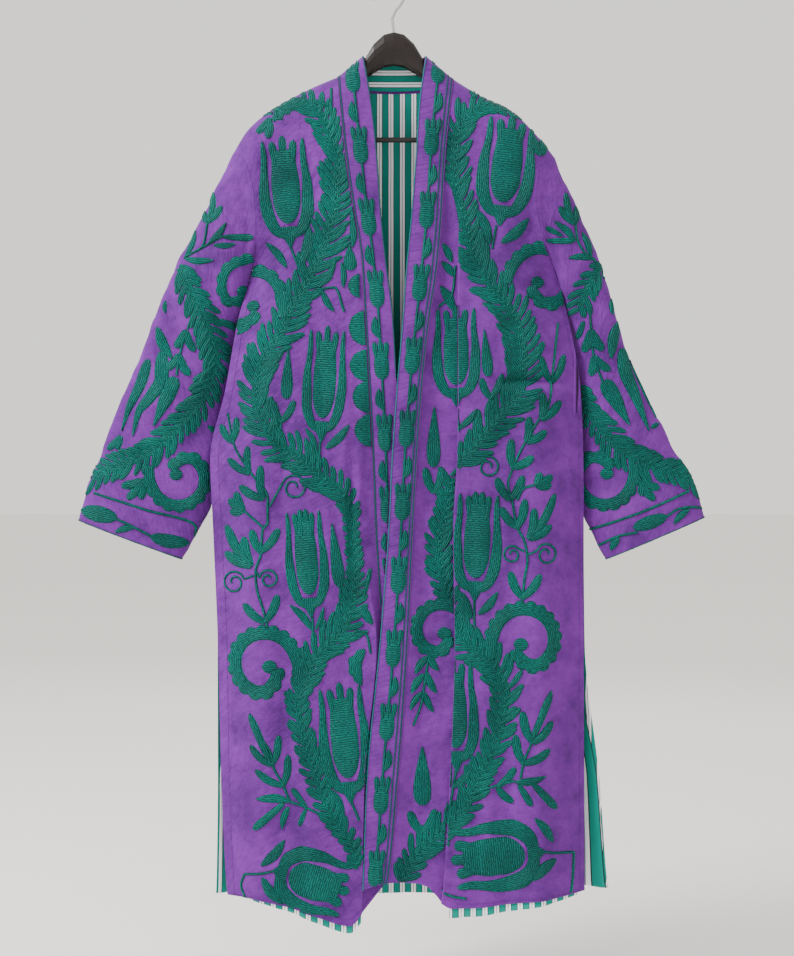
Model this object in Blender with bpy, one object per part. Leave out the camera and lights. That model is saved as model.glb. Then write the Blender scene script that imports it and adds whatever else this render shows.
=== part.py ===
"""A full-length cotton robe, open down the front, hanging on a wooden hanger.

Sizes are in millimetres until a mesh is made. Places on the robe are given by x, to the right of
the hanger's stem, and by drop, the distance below the inside top of the hook. The robe faces -Y.
Left and right are the viewer's.
"""
import math

import bmesh
import bpy
import numpy as np
from mathutils import Matrix, Vector

# Driving dimensions
MM = 0.001
STEM_X = 7.0            # the stem stands this far to the right of the hook's top
SEAM_GAP = 0.3
CLOTH = 1.8
BAND_CLOTH = 2.0
LINING = 1.0
RIDGE = 34.0            # the cloth rounds over the shoulder within this drop
SIDE_SEAM_GAP = 0.15    # each side of the side seam
SIDE_CREASE = 75.0      # the body closes to the side seam within this width
SLIT_FLARE = 5.0        # the back stands off at the slit's foot by this much
KNIFE_FOLD = 12.0       # the right front bends under this far beside its folded edge
BAND_CROWN = 1.2        # the bands are this much thicker in the middle
OVERLAP_LIFT = 1.0      # the right band bows forward over the left one
FACING_ROWS = 4         # rows of the neck band that the facing backs, from the centre outwards
FACING_REACH = 0.92     # the facing stops short of the band's sewn edge
SLIT_REACH = 0.8        # the back's lining comes this far out to the slit's edge
SLIT_CLEARANCE = 0.5

HOOK_RADIUS = 27.0
WIRE_RADIUS = 2.1
BAR_RADIUS = 3.6
BAR_DROP = 237.5
BAR_HALF_LENGTH = 184.0
STEM_FOOT_DROP = 112.0

# Levels run down the garment: 0 is the shoulder seam, 4 the underarm, 9 the top of the side slits
# and 11 the hem.
ARMHOLE_LEVELS = (0, 0.2, 0.5, 1, 1.6, 2.2, 2.8, 3.4, 4)
LOWER_LEVELS = tuple(4.5 + 0.5 * step for step in range(14))
LEVELS = ARMHOLE_LEVELS + LOWER_LEVELS
UNDERARM_ROW = len(ARMHOLE_LEVELS) - 1
TABLE_LEVELS = tuple(range(12))

# Columns of a front from its side to its fold, as shares of that width.
MAIN_FRACTIONS = (0, 0.035, 0.09, 0.18, 0.31, 0.48, 0.66, 0.84, 1)
MAIN_COLUMNS = len(MAIN_FRACTIONS)

# How far the side of the section is open: 1 at the armhole, 0 where front and back are sewn.
BODY = {
    "open":        (1, 1, 1, 0.8, 0, 0, 0, 0, 0, 0, 0, 0),
    "front_depth": (22, 24, 26, 27, 27, 28, 30, 32, 34, 37, 40, 43),
    "back_depth":  (22, 24, 26, 27, 28, 30, 33, 36, 38, 40, 43, 46),
    "side_y":      (0, 0, 0, 0, 0, -5, -8, -8, -8, -8, -8, -8),
}
FRONT_LEFT = {
    "side_x":    (-223.6, -202, -191, -189.5, -197, -215.3, -233.3, -254.2, -250, -243.5, -239, -229.7),
    "side_drop": (256.9, 283, 325, 375, 422, 485, 585, 681, 782, 935, 1117, 1283),
    "fold_x":    (-98, -94, -86, -77, -65, -61, -54, -50, -46, -24, -40, -44),
    "band_x":    (-77.8, -73.5, -66, -57, -44.5, -40.5, -34.2, -29.8, -26, -17, -14, -11),
    "band_drop": (150, 200, 270, 330, 410, 480, 585, 681, 782, 935, 1112, 1262),
    "lift":      (0, 0, 0, 0, 0, 1, 4, 5, 6, 10, 18, 18),
    "fold":      (0, 0, 0, 0, 0, 0, 0, 0, 0, 0.6, 1, 1),
}
FRONT_RIGHT = {
    "side_x":    (223.1, 200, 194.6, 204, 224, 241, 258, 262, 262.5, 262.5, 263, 263.9),
    "side_drop": (262, 287, 325, 375, 422, 485, 585, 681, 782, 935, 1117, 1277),
    "fold_x":    (112, 100, 92, 89, 87.5, 87.5, 87.5, 86, 81, 82.5, 76, 64),
    "band_x":    (82, 77, 70, 66.5, 59, 49, 39, 32, 26.5, 19.3, 6.3, -9.7),
    "band_drop": (153, 200, 270, 340, 425, 490, 585, 681, 782, 935, 1117, 1259),
    "lift":      (0, 0, 0, 0, 0, 0, 0, 0, 0, 1, 2, 2),
    "fold":      (0, 0, 0.1, 0.45, 0.8, 1, 1, 1, 1, 1, 1, 1),
}
BACK = {
    "left_x":     (-223.6, -202, -191, -189.5, -197, -215.3, -233.3, -254.2, -250, -244, -244, -247),
    "right_x":    (223.1, 200, 194.6, 204, 224, 241, 258, 262, 262.5, 264, 284, 298.5),
    "left_drop":  (256.9, 283, 325, 375, 422, 485, 585, 681, 782, 935, 1117, 1283),
    "right_drop": (262, 287, 325, 375, 422, 485, 585, 681, 782, 935, 1117, 1275),
}
BAND_LEFT = {
    "inner_x":    (-43.1, -31, -23, -19, -11, -2, 4, 8.5, 12, 21, 24, 27),
    "inner_drop": (120.8, 192, 268, 330, 410, 480, 585, 681, 782, 935, 1107, 1254),
}
BAND_RIGHT = {
    "inner_x":    (44.4, 35, 30, 24.5, 16.5, 12, 4, -2.6, -7.5, -19.5, -37, -42.5),
    "inner_drop": (120.8, 192, 268, 340, 425, 490, 585, 681, 782, 935, 1117, 1268),
}
# The band behind the neck, from the shoulder to the centre of the back.
NECK_BAND = {
    "inner_x":    (41.5, 36, 24, 12, 0.15),
    "inner_drop": (121.6, 123, 125, 126, 126.4),
    "inner_y":    (6, 13, 18, 20, 20.5),
    "outer_x":    (74, 66, 46, 22, 0.15),
    "outer_drop": (153.5, 160, 166, 168, 168.5),
    "outer_y":    (9, 17, 22.5, 24, 24.5),
}
SHOULDER_LEFT = {
    "x":    (-223.6, -202.8, -173.6, -116.7, -77.8),
    "drop": (256.9, 223.6, 198.6, 166.7, 150.0),
}
SHOULDER_RIGHT = {
    "x":    (82, 120.3, 162.5, 201.4, 223.1),
    "drop": (153, 176.4, 197.2, 234.7, 262),
}
HEM_LEFT = {
    "x":    (-229.7, -202.8, -147, -107, -60, -43, -11),
    "drop": (1283, 1282, 1290, 1303, 1317, 1300, 1262),
}
HEM_RIGHT = {
    "x":    (-9.7, 33, 51, 64, 79, 172, 263.9),
    "drop": (1259, 1261, 1268, 1286, 1293, 1285, 1277),
}
HEM_BACK = {
    "x":    (-247, -120, 0, 120, 298.5),
    "drop": (1283, 1287, 1287, 1286, 1275),
}
# How far the fronts' linings show below their hems.
BORDER_LEFT = {"x": (-230, -150, -55, -40), "below": (1, 6, 10.5, 10.5)}
BORDER_RIGHT = {"x": (64, 79, 172, 264), "below": (12, 13, 9, 3)}

# Sleeves: the outer edge and the underarm edge of each ring, and the depth each way.
SLEEVE_RINGS = 10
FIRST_PLACE = 0.6       # the first free ring's place in the tables below
SECTION_POWER = 0.42    # a lower power makes the section flatter with rounder edges
SLEEVE_LEFT = {
    "outer_x":    (-223.9, -248.6, -269.4, -297.2, -338.9, -380.6, -405, -428.5, -438.2),
    "outer_drop": (256.9, 305.6, 351.4, 397.2, 501.4, 598.6, 662, 726.4, 765.3),
    "under_x":    (-198.7, -209.5, -214, -220, -234, -248, -255.5, -276, -294.4),
    "under_drop": (423, 455, 480, 512, 612, 688, 745, 786, 819.4),
    "depth":      (22, 23, 23, 22, 21, 20, 19, 18, 17),
    "centre_y":   (0, 2, 4, 6, 7, 6, 5, 3, 2),
    "under_y":    (0, 6, 12, 15, 15, 14, 12, 6, 2),
}
SLEEVE_RIGHT = {
    "outer_x":    (223.4, 244.4, 272.2, 289.6, 320.8, 367.5, 393, 415.3, 431.3),
    "outer_drop": (262, 312.5, 372.2, 413.9, 523.6, 626.4, 672, 708.3, 761.1),
    "under_x":    (225.7, 238.5, 243, 250, 257.5, 258, 260.5, 276, 294.4),
    "under_drop": (423, 455, 480, 512, 612, 688, 745, 786, 819.4),
    "depth":      (22, 23, 23, 22, 21, 20, 19, 18, 17),
    "centre_y":   (0, 2, 4, 6, 7, 6, 5, 3, 2),
    "under_y":    (0, 6, 12, 15, 15, 14, 12, 6, 2),
}

# Largest soft folds: where each runs at its top and foot, the levels it spans, depth and width.
FOLD_COLUMNS = ("top_x", "foot_x", "top_level", "foot_level", "depth", "width")
FRONT_FOLDS = (
    (-70, -62, 5.0, 9.0, -5.0, 13),
    (-125, -112, 5.0, 11.0, -5.0, 28),
    (-190, -185, 5.0, 11.0, -4.0, 22),
    (-160, -150, 1.0, 4.5, -3.5, 24),
    (135, 120, 3.0, 11.0, -4.5, 24),
    (185, 195, 4.0, 11.0, -5.0, 26),
    (150, 160, 0.6, 3.5, -3.5, 24),
)
BACK_FOLDS = (
    (-160, -190, 2.0, 11.0, 6.0, 34),
    (-70, -85, 3.0, 11.0, 7.0, 34),
    (25, 30, 2.0, 11.0, 6.0, 34),
    (110, 130, 2.5, 11.0, 7.0, 34),
    (180, 215, 3.0, 11.0, 5.0, 30),
)

# The hanger's wood, from its centre to the tip of one arm.
WOOD = {
    "x":     (0, 14, 28, 42, 60, 78, 117, 150, 174, 192, 204, 213, 217),
    "top":   (87.5, 91, 104, 127.5, 147.5, 162, 184, 200, 216.5, 235, 249, 261, 267),
    "foot":  (134.7, 137, 145, 155, 168, 181, 204, 224, 240, 255, 266, 273, 271),
    "depth": (11, 11, 11, 11, 11, 11.5, 12.5, 13.5, 13.5, 12, 10, 7, 3),
}
# The stem, from its foot in the wood up to where the hook's round begins.
STEM = {
    "x":    (0, 0, -1.5, -2.2, 2.5, 9.0),
    "drop": (STEM_FOOT_DROP, 88, 76, 68, 58, 50.5),
}
STEM_SOCKET = 41.0      # the socket's length, a little more than the stem's foot
HOOK_START_ANGLE = -42.0
HOOK_END_ANGLE = 222.0
HOOK_POINTS = 26


def table_value(places, values, place):
    """A value read between the rows of a table by a smooth curve that never overshoots a row."""
    places = np.asarray(places, float)
    values = np.asarray(values, float)
    steps = np.diff(values) / np.diff(places)
    slopes = np.zeros(len(values))
    slopes[0] = steps[0]
    slopes[-1] = steps[-1]
    for row in range(1, len(values) - 1):
        before, after = steps[row - 1], steps[row]
        if before * after > 0:
            slopes[row] = 2 * before * after / (before + after)
    row = int(np.clip(np.searchsorted(places, place, side="right") - 1, 0, len(places) - 2))
    width = places[row + 1] - places[row]
    t = float(np.clip((place - places[row]) / width, 0, 1))
    start = (2 * t**3 - 3 * t**2 + 1) * values[row] + (t**3 - 2 * t**2 + t) * width * slopes[row]
    end = (3 * t**2 - 2 * t**3) * values[row + 1] + (t**3 - t**2) * width * slopes[row + 1]
    return start + end


def at_level(table, name, level):
    return table_value(TABLE_LEVELS, table[name], level)


def blend(start, end, amount):
    return start + (end - start) * amount


def rounding(distance, radius):
    """0 at an edge, rising like a quarter circle to 1 at the radius."""
    t = min(max(distance / radius, 0), 1)
    return math.sqrt(1 - (1 - t) ** 2)


def side_rounding(distance):
    """The body's section closes to a soft crease at the side seam."""
    return math.sin(min(max(distance / SIDE_CREASE, 0), 1) * math.pi / 2)


def fold_depth(folds, x, level):
    """Depth of the soft folds at one place, positive to the back."""
    total = 0.0
    for row in folds:
        fold = dict(zip(FOLD_COLUMNS, row))
        along = (level - fold["top_level"]) / (fold["foot_level"] - fold["top_level"])
        if along <= 0:
            continue
        fade = math.sin(min(along, 0.5) * math.pi)
        if fold["foot_level"] < 11:
            fade = math.sin(min(along, 1) * math.pi)
        centre = blend(fold["top_x"], fold["foot_x"], min(along, 1))
        total += fold["depth"] * fade * math.exp(-((x - centre) / fold["width"]) ** 2)
    return total


def edge_fade(level, table, x, straight_drop):
    """Drop of a front or back row: straight across, but curved along the shoulder and the hem."""
    shoulder, hem = table
    drop = straight_drop
    if level < 2:
        curved = table_value(shoulder["x"], shoulder["drop"], x)
        drop = blend(drop, curved + (drop - straight_top(shoulder, x)), (1 - level / 2) ** 2)
    if level > 10:
        curved = table_value(hem["x"], hem["drop"], x)
        drop = blend(drop, curved, (level - 10) ** 2)
    return drop


def straight_top(shoulder, x):
    first = (shoulder["x"][0], shoulder["drop"][0])
    last = (shoulder["x"][-1], shoulder["drop"][-1])
    return blend(first[1], last[1], (x - first[0]) / (last[0] - first[0]))


def front_y(distance_from_side, below_top, level, x, lift):
    """Outer surface of a front: it rounds over the shoulder and closes at the side seam."""
    side_y = at_level(BODY, "side_y", level)
    opened = max(at_level(BODY, "open", level), 0)
    depth = at_level(BODY, "front_depth", level)
    across = opened + (1 - opened) * side_rounding(distance_from_side)
    reach = CLOTH + (depth + side_y - lift - fold_depth(FRONT_FOLDS, x, level)) * across
    return side_y - SIDE_SEAM_GAP - rounding(below_top, RIDGE) * reach


def back_y(distance_from_side, below_top, level, x, neck_y):
    side_y = at_level(BODY, "side_y", level)
    opened = max(at_level(BODY, "open", level), 0)
    depth = at_level(BODY, "back_depth", level)
    across = opened + (1 - opened) * side_rounding(distance_from_side)
    reach = CLOTH + (depth - side_y - neck_y + fold_depth(BACK_FOLDS, x, level)) * across
    return side_y + SIDE_SEAM_GAP + neck_y + rounding(below_top, RIDGE) * reach


def front_left_row(level):
    """Columns from the side to the fold, round the fold, and on to the band: x and lift."""
    value = {name: at_level(FRONT_LEFT, name, level) for name in FRONT_LEFT}
    columns = [(blend(value["side_x"], value["fold_x"], part), 0) for part in MAIN_FRACTIONS]
    span = value["band_x"] - value["fold_x"]
    lift = value["lift"]
    steps = ((0.33, 0.8, 0.35), (0.66, 0.45 * span, 0.75), (1, span, 1))
    for even, folded, share in steps:
        across = blend(even * span, folded, value["fold"])
        columns.append((value["fold_x"] + across, lift * blend(even, share, value["fold"])))
    return value, columns


def front_right_row(level):
    """Columns from the side to the knife fold, through its return, and on to the band."""
    value = {name: at_level(FRONT_RIGHT, name, level) for name in FRONT_RIGHT}
    start = value["fold_x"] + KNIFE_FOLD
    columns = [(blend(value["side_x"], start, part), 0) for part in MAIN_FRACTIONS]
    span = value["band_x"] - start
    band = value["band_x"]
    mid = blend(value["fold_x"], band, 0.55)
    steps = (
        (0.14, value["fold_x"] + 1.5, 0),
        (0.28, value["fold_x"], 2.5),
        (0.42, value["fold_x"] + 2, 5),
        (0.56, value["fold_x"] + 10, 6),
        (0.70, value["fold_x"] + 1, 8.5),
        (0.85, mid, 9),
        (1, band, value["lift"]),
    )
    for even, folded, lift in steps:
        x = blend(start + even * span, folded, value["fold"])
        columns.append((x, lift * value["fold"]))
    columns[-1] = (band, value["lift"])
    return value, columns


def front_grid(row_of, shoulder, hem):
    """Outer points of a front panel, one row for each level."""
    rows = []
    tops = None
    for level in LEVELS:
        value, columns = row_of(level)
        row = []
        for place, (x, lift) in enumerate(columns):
            share = (x - value["side_x"]) / (value["band_x"] - value["side_x"])
            straight = blend(value["side_drop"], value["band_drop"], share)
            drop = edge_fade(level, (shoulder, hem), x, straight)
            top = drop if tops is None else tops[place]
            distance = abs(x - value["side_x"])
            row.append((x, front_y(distance, drop - top, level, x, lift), drop))
        if tops is None:
            tops = [point[2] for point in row]
        rows.append(row)
    return np.array(rows)


def band_front_grid(inner, panel, bow):
    """Outer points of a front band: its free edge, middle, and the edge sewn to the panel."""
    rows = []
    for row, level in enumerate(LEVELS):
        sewn = panel[row, -1]
        x = at_level(inner, "inner_x", level)
        drop = at_level(inner, "inner_drop", level)
        depth = at_level(BODY, "front_depth", level) + CLOTH
        full = -SIDE_SEAM_GAP - rounding(drop - inner["inner_drop"][0], RIDGE) * depth
        lift = sewn[1] + depth
        y = full + (max(lift, 0) if level > 4 else 0) - bow * math.sin(level / 11 * math.pi)
        free = np.array((x, y, drop))
        across = free - sewn
        gap = across / np.linalg.norm(across) * SEAM_GAP
        edge = sewn + gap
        middle = (free + edge) / 2 + np.array((0, -BAND_CROWN * min(level, 1), 0))
        rows.append((free, middle, edge))
    return np.array(rows)


def neck_rows(side):
    """Rows of the band from the shoulder to the centre of the back neck, on one side."""
    rows = []
    for place in range(len(NECK_BAND["inner_x"])):
        value = {name: column[place] for name, column in NECK_BAND.items()}
        inner = np.array((side * value["inner_x"], value["inner_y"], value["inner_drop"]))
        outer = np.array((side * value["outer_x"], value["outer_y"], value["outer_drop"]))
        rows.append((inner, (inner + outer) / 2 + np.array((0, 0.8, 0)), outer))
    return rows


def band_grid(front_rows, side):
    """The whole band on one side, from the centre of the back neck to the hem."""
    behind = neck_rows(side)[::-1]
    return np.concatenate((np.array(behind), front_rows))


def back_grid():
    """Outer points of the back: its top row follows the shoulders and the neck band's edge."""
    neck = neck_rows(1)
    top = []
    for part in (0, 0.045, 0.12, 0.25, 0.44, 0.7, 0.992):
        x = blend(SHOULDER_LEFT["x"][0], SHOULDER_LEFT["x"][-1], part)
        top.append((x, 0.0, table_value(SHOULDER_LEFT["x"], SHOULDER_LEFT["drop"], x)))
    for rows, side in ((neck, -1), (neck[-2::-1], 1)):
        for inner, middle, outer in rows:
            x = side * outer[0] if outer[0] > 1 else 0.0
            top.append((x, outer[1], outer[2] + 2 * SEAM_GAP))
    for part in (0.008, 0.3, 0.56, 0.75, 0.88, 0.955, 1):
        x = blend(SHOULDER_RIGHT["x"][0], SHOULDER_RIGHT["x"][-1], part)
        top.append((x, 0.0, table_value(SHOULDER_RIGHT["x"], SHOULDER_RIGHT["drop"], x)))
    left, right = top[0][0], top[-1][0]
    rows = []
    for level in LEVELS:
        value = {name: at_level(BACK, name, level) for name in BACK}
        row = []
        for top_x, neck_y, top_drop in top:
            share = (top_x - left) / (right - left)
            x = blend(value["left_x"], value["right_x"], share)
            straight = blend(value["left_drop"], value["right_drop"], share)
            fade = (1 - min(level / 4, 1)) ** 2
            drop = straight - fade * (blend(top[0][2], top[-1][2], share) - top_drop)
            if level > 10:
                drop = blend(drop, table_value(HEM_BACK["x"], HEM_BACK["drop"], x), (level - 10) ** 2)
            distance = min(x - value["left_x"], value["right_x"] - x)
            y = back_y(distance, drop - top_drop, level, x, neck_y * fade)
            if level > 9:
                y += SLIT_FLARE * (level - 9) / 2 * (1 - side_rounding(distance))
            row.append((x, y, drop))
        rows.append(row)
    return np.array(rows)


def sleeve_grid(table, front, back, side):
    """Rings of a sleeve: the first lies along the armhole, the last is the cuff."""
    half = UNDERARM_ROW
    first = []
    for row in range(half):
        first.append(front[row, 0] + np.array((side * SEAM_GAP, 0, 0)))
    first[0][1] = 0
    first.append(np.array((table["under_x"][0], 0, table["under_drop"][0])))
    for row in range(half - 1, 0, -1):
        first.append(back[row, 0 if side < 0 else -1] + np.array((side * SEAM_GAP, 0, 0)))
    rings = [first]
    edge_drops = [point[2] for point in first[:half + 1]]
    edge_shares = [(drop - edge_drops[0]) / (edge_drops[-1] - edge_drops[0]) for drop in edge_drops]
    places = tuple(range(len(table["depth"])))
    last = places[-1]
    for ring in range(1, SLEEVE_RINGS + 1):
        place = blend(FIRST_PLACE, last, (ring - 1) / (SLEEVE_RINGS - 1))
        value = {name: table_value(places, column, place) for name, column in table.items()}
        points = []
        for step in range(2 * half):
            front_side = step <= half
            turned = step if front_side else 2 * half - step
            even = (1 - math.cos(math.pi * turned / half)) / 2
            share = blend(edge_shares[turned], even, min(place / 3, 1))
            x = blend(value["outer_x"], value["under_x"], share)
            drop = blend(value["outer_drop"], value["under_drop"], share)
            centre = blend(value["centre_y"], value["under_y"], share ** 2)
            swell = max(4 * share * (1 - share), 0) ** SECTION_POWER
            y = centre + (-1 if front_side else 1) * value["depth"] * swell
            points.append((x, y, drop))
        rings.append(np.array(points))
    return np.array(rings)


def sleeve_directions(rings, front_edge, back_edge):
    """Into the sleeve; along the armhole the same way as the panels' own edges."""
    centre = rings.mean(axis=1, keepdims=True)
    directions = inward_directions(rings, True, centre - rings)
    half = UNDERARM_ROW
    directions[0, :half] = front_edge[:half]
    directions[0, half] = (0, 0, -1)
    for row in range(half - 1, 0, -1):
        directions[0, 2 * half - row] = back_edge[row]
    return directions


def inward_directions(grid, closed, towards):
    """Unit directions from the outer points into the garment, from the grid's own slopes."""
    along = np.gradient(grid, axis=0)
    if closed:
        across = np.roll(grid, -1, axis=1) - np.roll(grid, 1, axis=1)
    else:
        across = np.gradient(grid, axis=1)
    directions = np.cross(along, across)
    directions /= np.linalg.norm(directions, axis=2, keepdims=True)
    if (directions * towards).sum() < 0:
        directions = -directions
    return directions


def moved_in(grid, directions, distance):
    return grid + directions * distance


def to_world(point):
    return Vector(((point[0] + STEM_X) * MM, point[1] * MM, -point[2] * MM))


def material(name, colour, roughness, metallic=0.0):
    made = bpy.data.materials.new(name)
    made.use_nodes = True
    shader = made.node_tree.nodes["Principled BSDF"]
    shader.inputs["Base Color"].default_value = (*colour, 1)
    shader.inputs["Roughness"].default_value = roughness
    shader.inputs["Metallic"].default_value = metallic
    return made


def finish(name, mesh, surface):
    bmesh.ops.recalc_face_normals(mesh, faces=mesh.faces)
    data = bpy.data.meshes.new(name)
    mesh.to_mesh(data)
    mesh.free()
    data.materials.append(surface)
    data.shade_smooth()
    data.set_sharp_from_angle(angle=math.radians(40))
    made = bpy.data.objects.new(name, data)
    bpy.context.scene.collection.objects.link(made)
    return made


def wall(name, outer, inner, surface, closed=False):
    """A closed cloth wall between two grids of points that have the same rows and columns."""
    rows, columns = outer.shape[:2]
    mesh = bmesh.new()
    outside = [[mesh.verts.new(to_world(point)) for point in row] for row in outer]
    inside = [[mesh.verts.new(to_world(point)) for point in row] for row in inner]

    def patch(a, b, c, d):
        mesh.faces.new((a, b, c))
        mesh.faces.new((a, c, d))

    for row in range(rows - 1):
        for column in range(columns if closed else columns - 1):
            beside = (column + 1) % columns
            for layer in (outside, inside):
                patch(layer[row][column], layer[row][beside], layer[row + 1][beside], layer[row + 1][column])
    for row in (0, rows - 1):
        for column in range(columns if closed else columns - 1):
            beside = (column + 1) % columns
            patch(outside[row][column], outside[row][beside], inside[row][beside], inside[row][column])
    if not closed:
        for column in (0, columns - 1):
            for row in range(rows - 1):
                patch(outside[row][column], outside[row + 1][column],
                      inside[row + 1][column], inside[row][column])
    return finish(name, mesh, surface)


def front_directions(grid):
    """Into the garment, straight down at the shoulder seam and straight back at the side seam."""
    directions = inward_directions(grid, False, np.array((0, 1, 0)))
    directions[0] = (0, 0, 1)
    for row in range(UNDERARM_ROW, len(LEVELS)):
        directions[row, 0] = (0, 1, 0)
    for row in range(1, len(LEVELS)):
        directions[row, -1, 0] = 0
        directions[row, -1] /= np.linalg.norm(directions[row, -1])
    return directions


def back_directions(grid):
    directions = inward_directions(grid, False, np.array((0, -1, 0)))
    for column in range(grid.shape[1]):
        if grid[0, column, 1] < 1:
            directions[0, column] = (0, 0, 1)
    for row in range(UNDERARM_ROW, len(LEVELS)):
        directions[row, 0] = (0, -1, 0)
        directions[row, -1] = (0, -1, 0)
    return directions


def back_lining(outer, directions):
    """Grid of the back's lining: inside the side seams, but out to the edges beside the slits."""
    grid = moved_in(outer, directions, CLOTH + SEAM_GAP)
    lining = grid[:, 1:-1].copy()
    for row, level in enumerate(LEVELS):
        reach = SLIT_REACH * min(max(level - 9, 0), 1)
        grid[row, (0, 1, -2, -1), 1] -= SLIT_CLEARANCE * reach
        lining[row, 0] = blend(grid[row, 1], grid[row, 0], reach)
        lining[row, -1] = blend(grid[row, -2], grid[row, -1], reach)
    return lining


def front_lining(outer, directions, border):
    """The lowest part of a front's lining, which hangs below the hem as a striped border."""
    grid = moved_in(outer, directions, CLOTH + SEAM_GAP)[-3:, 1:MAIN_COLUMNS].copy()
    low = grid[-1].copy()
    slope = grid[-1] - grid[-2]
    for column in range(low.shape[0]):
        below = table_value(border["x"], border["below"], low[column, 0])
        low[column] += slope[column] / slope[column, 2] * below
    return np.concatenate((grid, low[None]))


def hanger_wood(surface):
    """Both arms in one loft of rounded sections, with sockets for the stem and the bar."""
    sides = 16
    places = sorted({-x for x in WOOD["x"]} | set(WOOD["x"]))
    mesh = bmesh.new()
    rings = []
    for place in places:
        value = {name: table_value(WOOD["x"], WOOD[name], abs(place)) for name in ("top", "foot", "depth")}
        centre = (value["top"] + value["foot"]) / 2
        half = (value["foot"] - value["top"]) / 2
        ring = []
        for side in range(sides):
            angle = 2 * math.pi * side / sides
            y = math.copysign(abs(math.cos(angle)) ** 0.9, math.cos(angle)) * value["depth"]
            z = math.sin(angle) * half
            ring.append(mesh.verts.new(to_world((place, y, centre - z))))
        rings.append(ring)
    for before, after in zip(rings, rings[1:]):
        for side in range(sides):
            beside = (side + 1) % sides
            mesh.faces.new((before[side], before[beside], after[beside], after[side]))
    mesh.faces.new(rings[0])
    mesh.faces.new(rings[-1])
    wood = finish("hanger_wood", mesh, surface)
    sockets = (
        ((0, 0, STEM_FOOT_DROP - 20), WIRE_RADIUS + SEAM_GAP, STEM_SOCKET, "Z"),
        ((0, 0, BAR_DROP), BAR_RADIUS + SEAM_GAP, 2 * BAR_HALF_LENGTH + 1, "X"),
    )
    for count, (centre, radius, length, axis) in enumerate(sockets):
        cut = bmesh.new()
        bmesh.ops.create_cone(cut, cap_ends=True, segments=16, radius1=radius * MM,
                              radius2=radius * MM, depth=length * MM)
        if axis == "X":
            bmesh.ops.rotate(cut, matrix=Matrix.Rotation(math.pi / 2, 3, "Y"), verts=cut.verts)
        bmesh.ops.translate(cut, vec=to_world(centre), verts=cut.verts)
        cutter = finish("socket_cutter_%d" % count, cut, surface)
        cutter.hide_render = True
        cutter.display_type = "WIRE"
        socket = wood.modifiers.new("socket_%d" % count, "BOOLEAN")
        socket.operation = "DIFFERENCE"
        socket.object = cutter
    return wood


def hanger_bar(surface):
    mesh = bmesh.new()
    bmesh.ops.create_cone(mesh, cap_ends=True, segments=16, radius1=BAR_RADIUS * MM,
                          radius2=BAR_RADIUS * MM, depth=2 * BAR_HALF_LENGTH * MM)
    bmesh.ops.rotate(mesh, matrix=Matrix.Rotation(math.pi / 2, 3, "Y"), verts=mesh.verts)
    bmesh.ops.translate(mesh, vec=to_world((0, 0, BAR_DROP)), verts=mesh.verts)
    return finish("hanger_bar", mesh, surface)


def hook_route():
    """Centre line of the wire: up the stem, then round the hook, whose inside top is the origin."""
    points = list(zip(STEM["x"], STEM["drop"]))
    centre_x = -STEM_X
    centre_drop = HOOK_RADIUS - WIRE_RADIUS
    for step in range(HOOK_POINTS + 1):
        angle = math.radians(blend(HOOK_START_ANGLE, HOOK_END_ANGLE, step / HOOK_POINTS))
        x = centre_x + HOOK_RADIUS * math.cos(angle)
        points.append((x, centre_drop - HOOK_RADIUS * math.sin(angle)))
    return points


def hanger_hook(surface):
    sides = 12
    route = [to_world((x, 0, drop)) for x, drop in hook_route()]
    mesh = bmesh.new()
    rings = []
    for place, point in enumerate(route):
        before = route[max(place - 1, 0)]
        after = route[min(place + 1, len(route) - 1)]
        along = (after - before).normalized()
        level = Vector((0, 1, 0))
        across = along.cross(level)
        ring = []
        for side in range(sides):
            angle = 2 * math.pi * side / sides
            offset = (across * math.cos(angle) + level * math.sin(angle)) * WIRE_RADIUS * MM
            ring.append(mesh.verts.new(point + offset))
        rings.append(ring)
    for before, after in zip(rings, rings[1:]):
        for side in range(sides):
            beside = (side + 1) % sides
            mesh.faces.new((before[side], before[beside], after[beside], after[side]))
    mesh.faces.new(rings[0])
    mesh.faces.new(rings[-1])
    return finish("hanger_hook", mesh, surface)


for old in list(bpy.data.objects):
    bpy.data.objects.remove(old, do_unlink=True)

front_left = front_grid(front_left_row, SHOULDER_LEFT, HEM_LEFT)
front_right = front_grid(front_right_row, SHOULDER_RIGHT, HEM_RIGHT)
back = back_grid()

for name, grid in (("front_left", front_left), ("front_right", front_right)):
    inside = moved_in(grid, front_directions(grid), CLOTH)
    wall(name, grid, inside, material(name, (0.21, 0.08, 0.34), 0.85))
wall("back", back, moved_in(back, back_directions(back), CLOTH), material("back", (0.19, 0.07, 0.32), 0.85))

for name, table, side in (("sleeve_left", SLEEVE_LEFT, -1), ("sleeve_right", SLEEVE_RIGHT, 1)):
    panel = front_left if side < 0 else front_right
    rings = sleeve_grid(table, panel, back, side)
    back_edge = back_directions(back)[:, 0 if side < 0 else -1]
    directions = sleeve_directions(rings, front_directions(panel)[:, 0], back_edge)
    wall(name, rings, moved_in(rings, directions, CLOTH), material(name, (0.22, 0.09, 0.36), 0.85), True)

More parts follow.
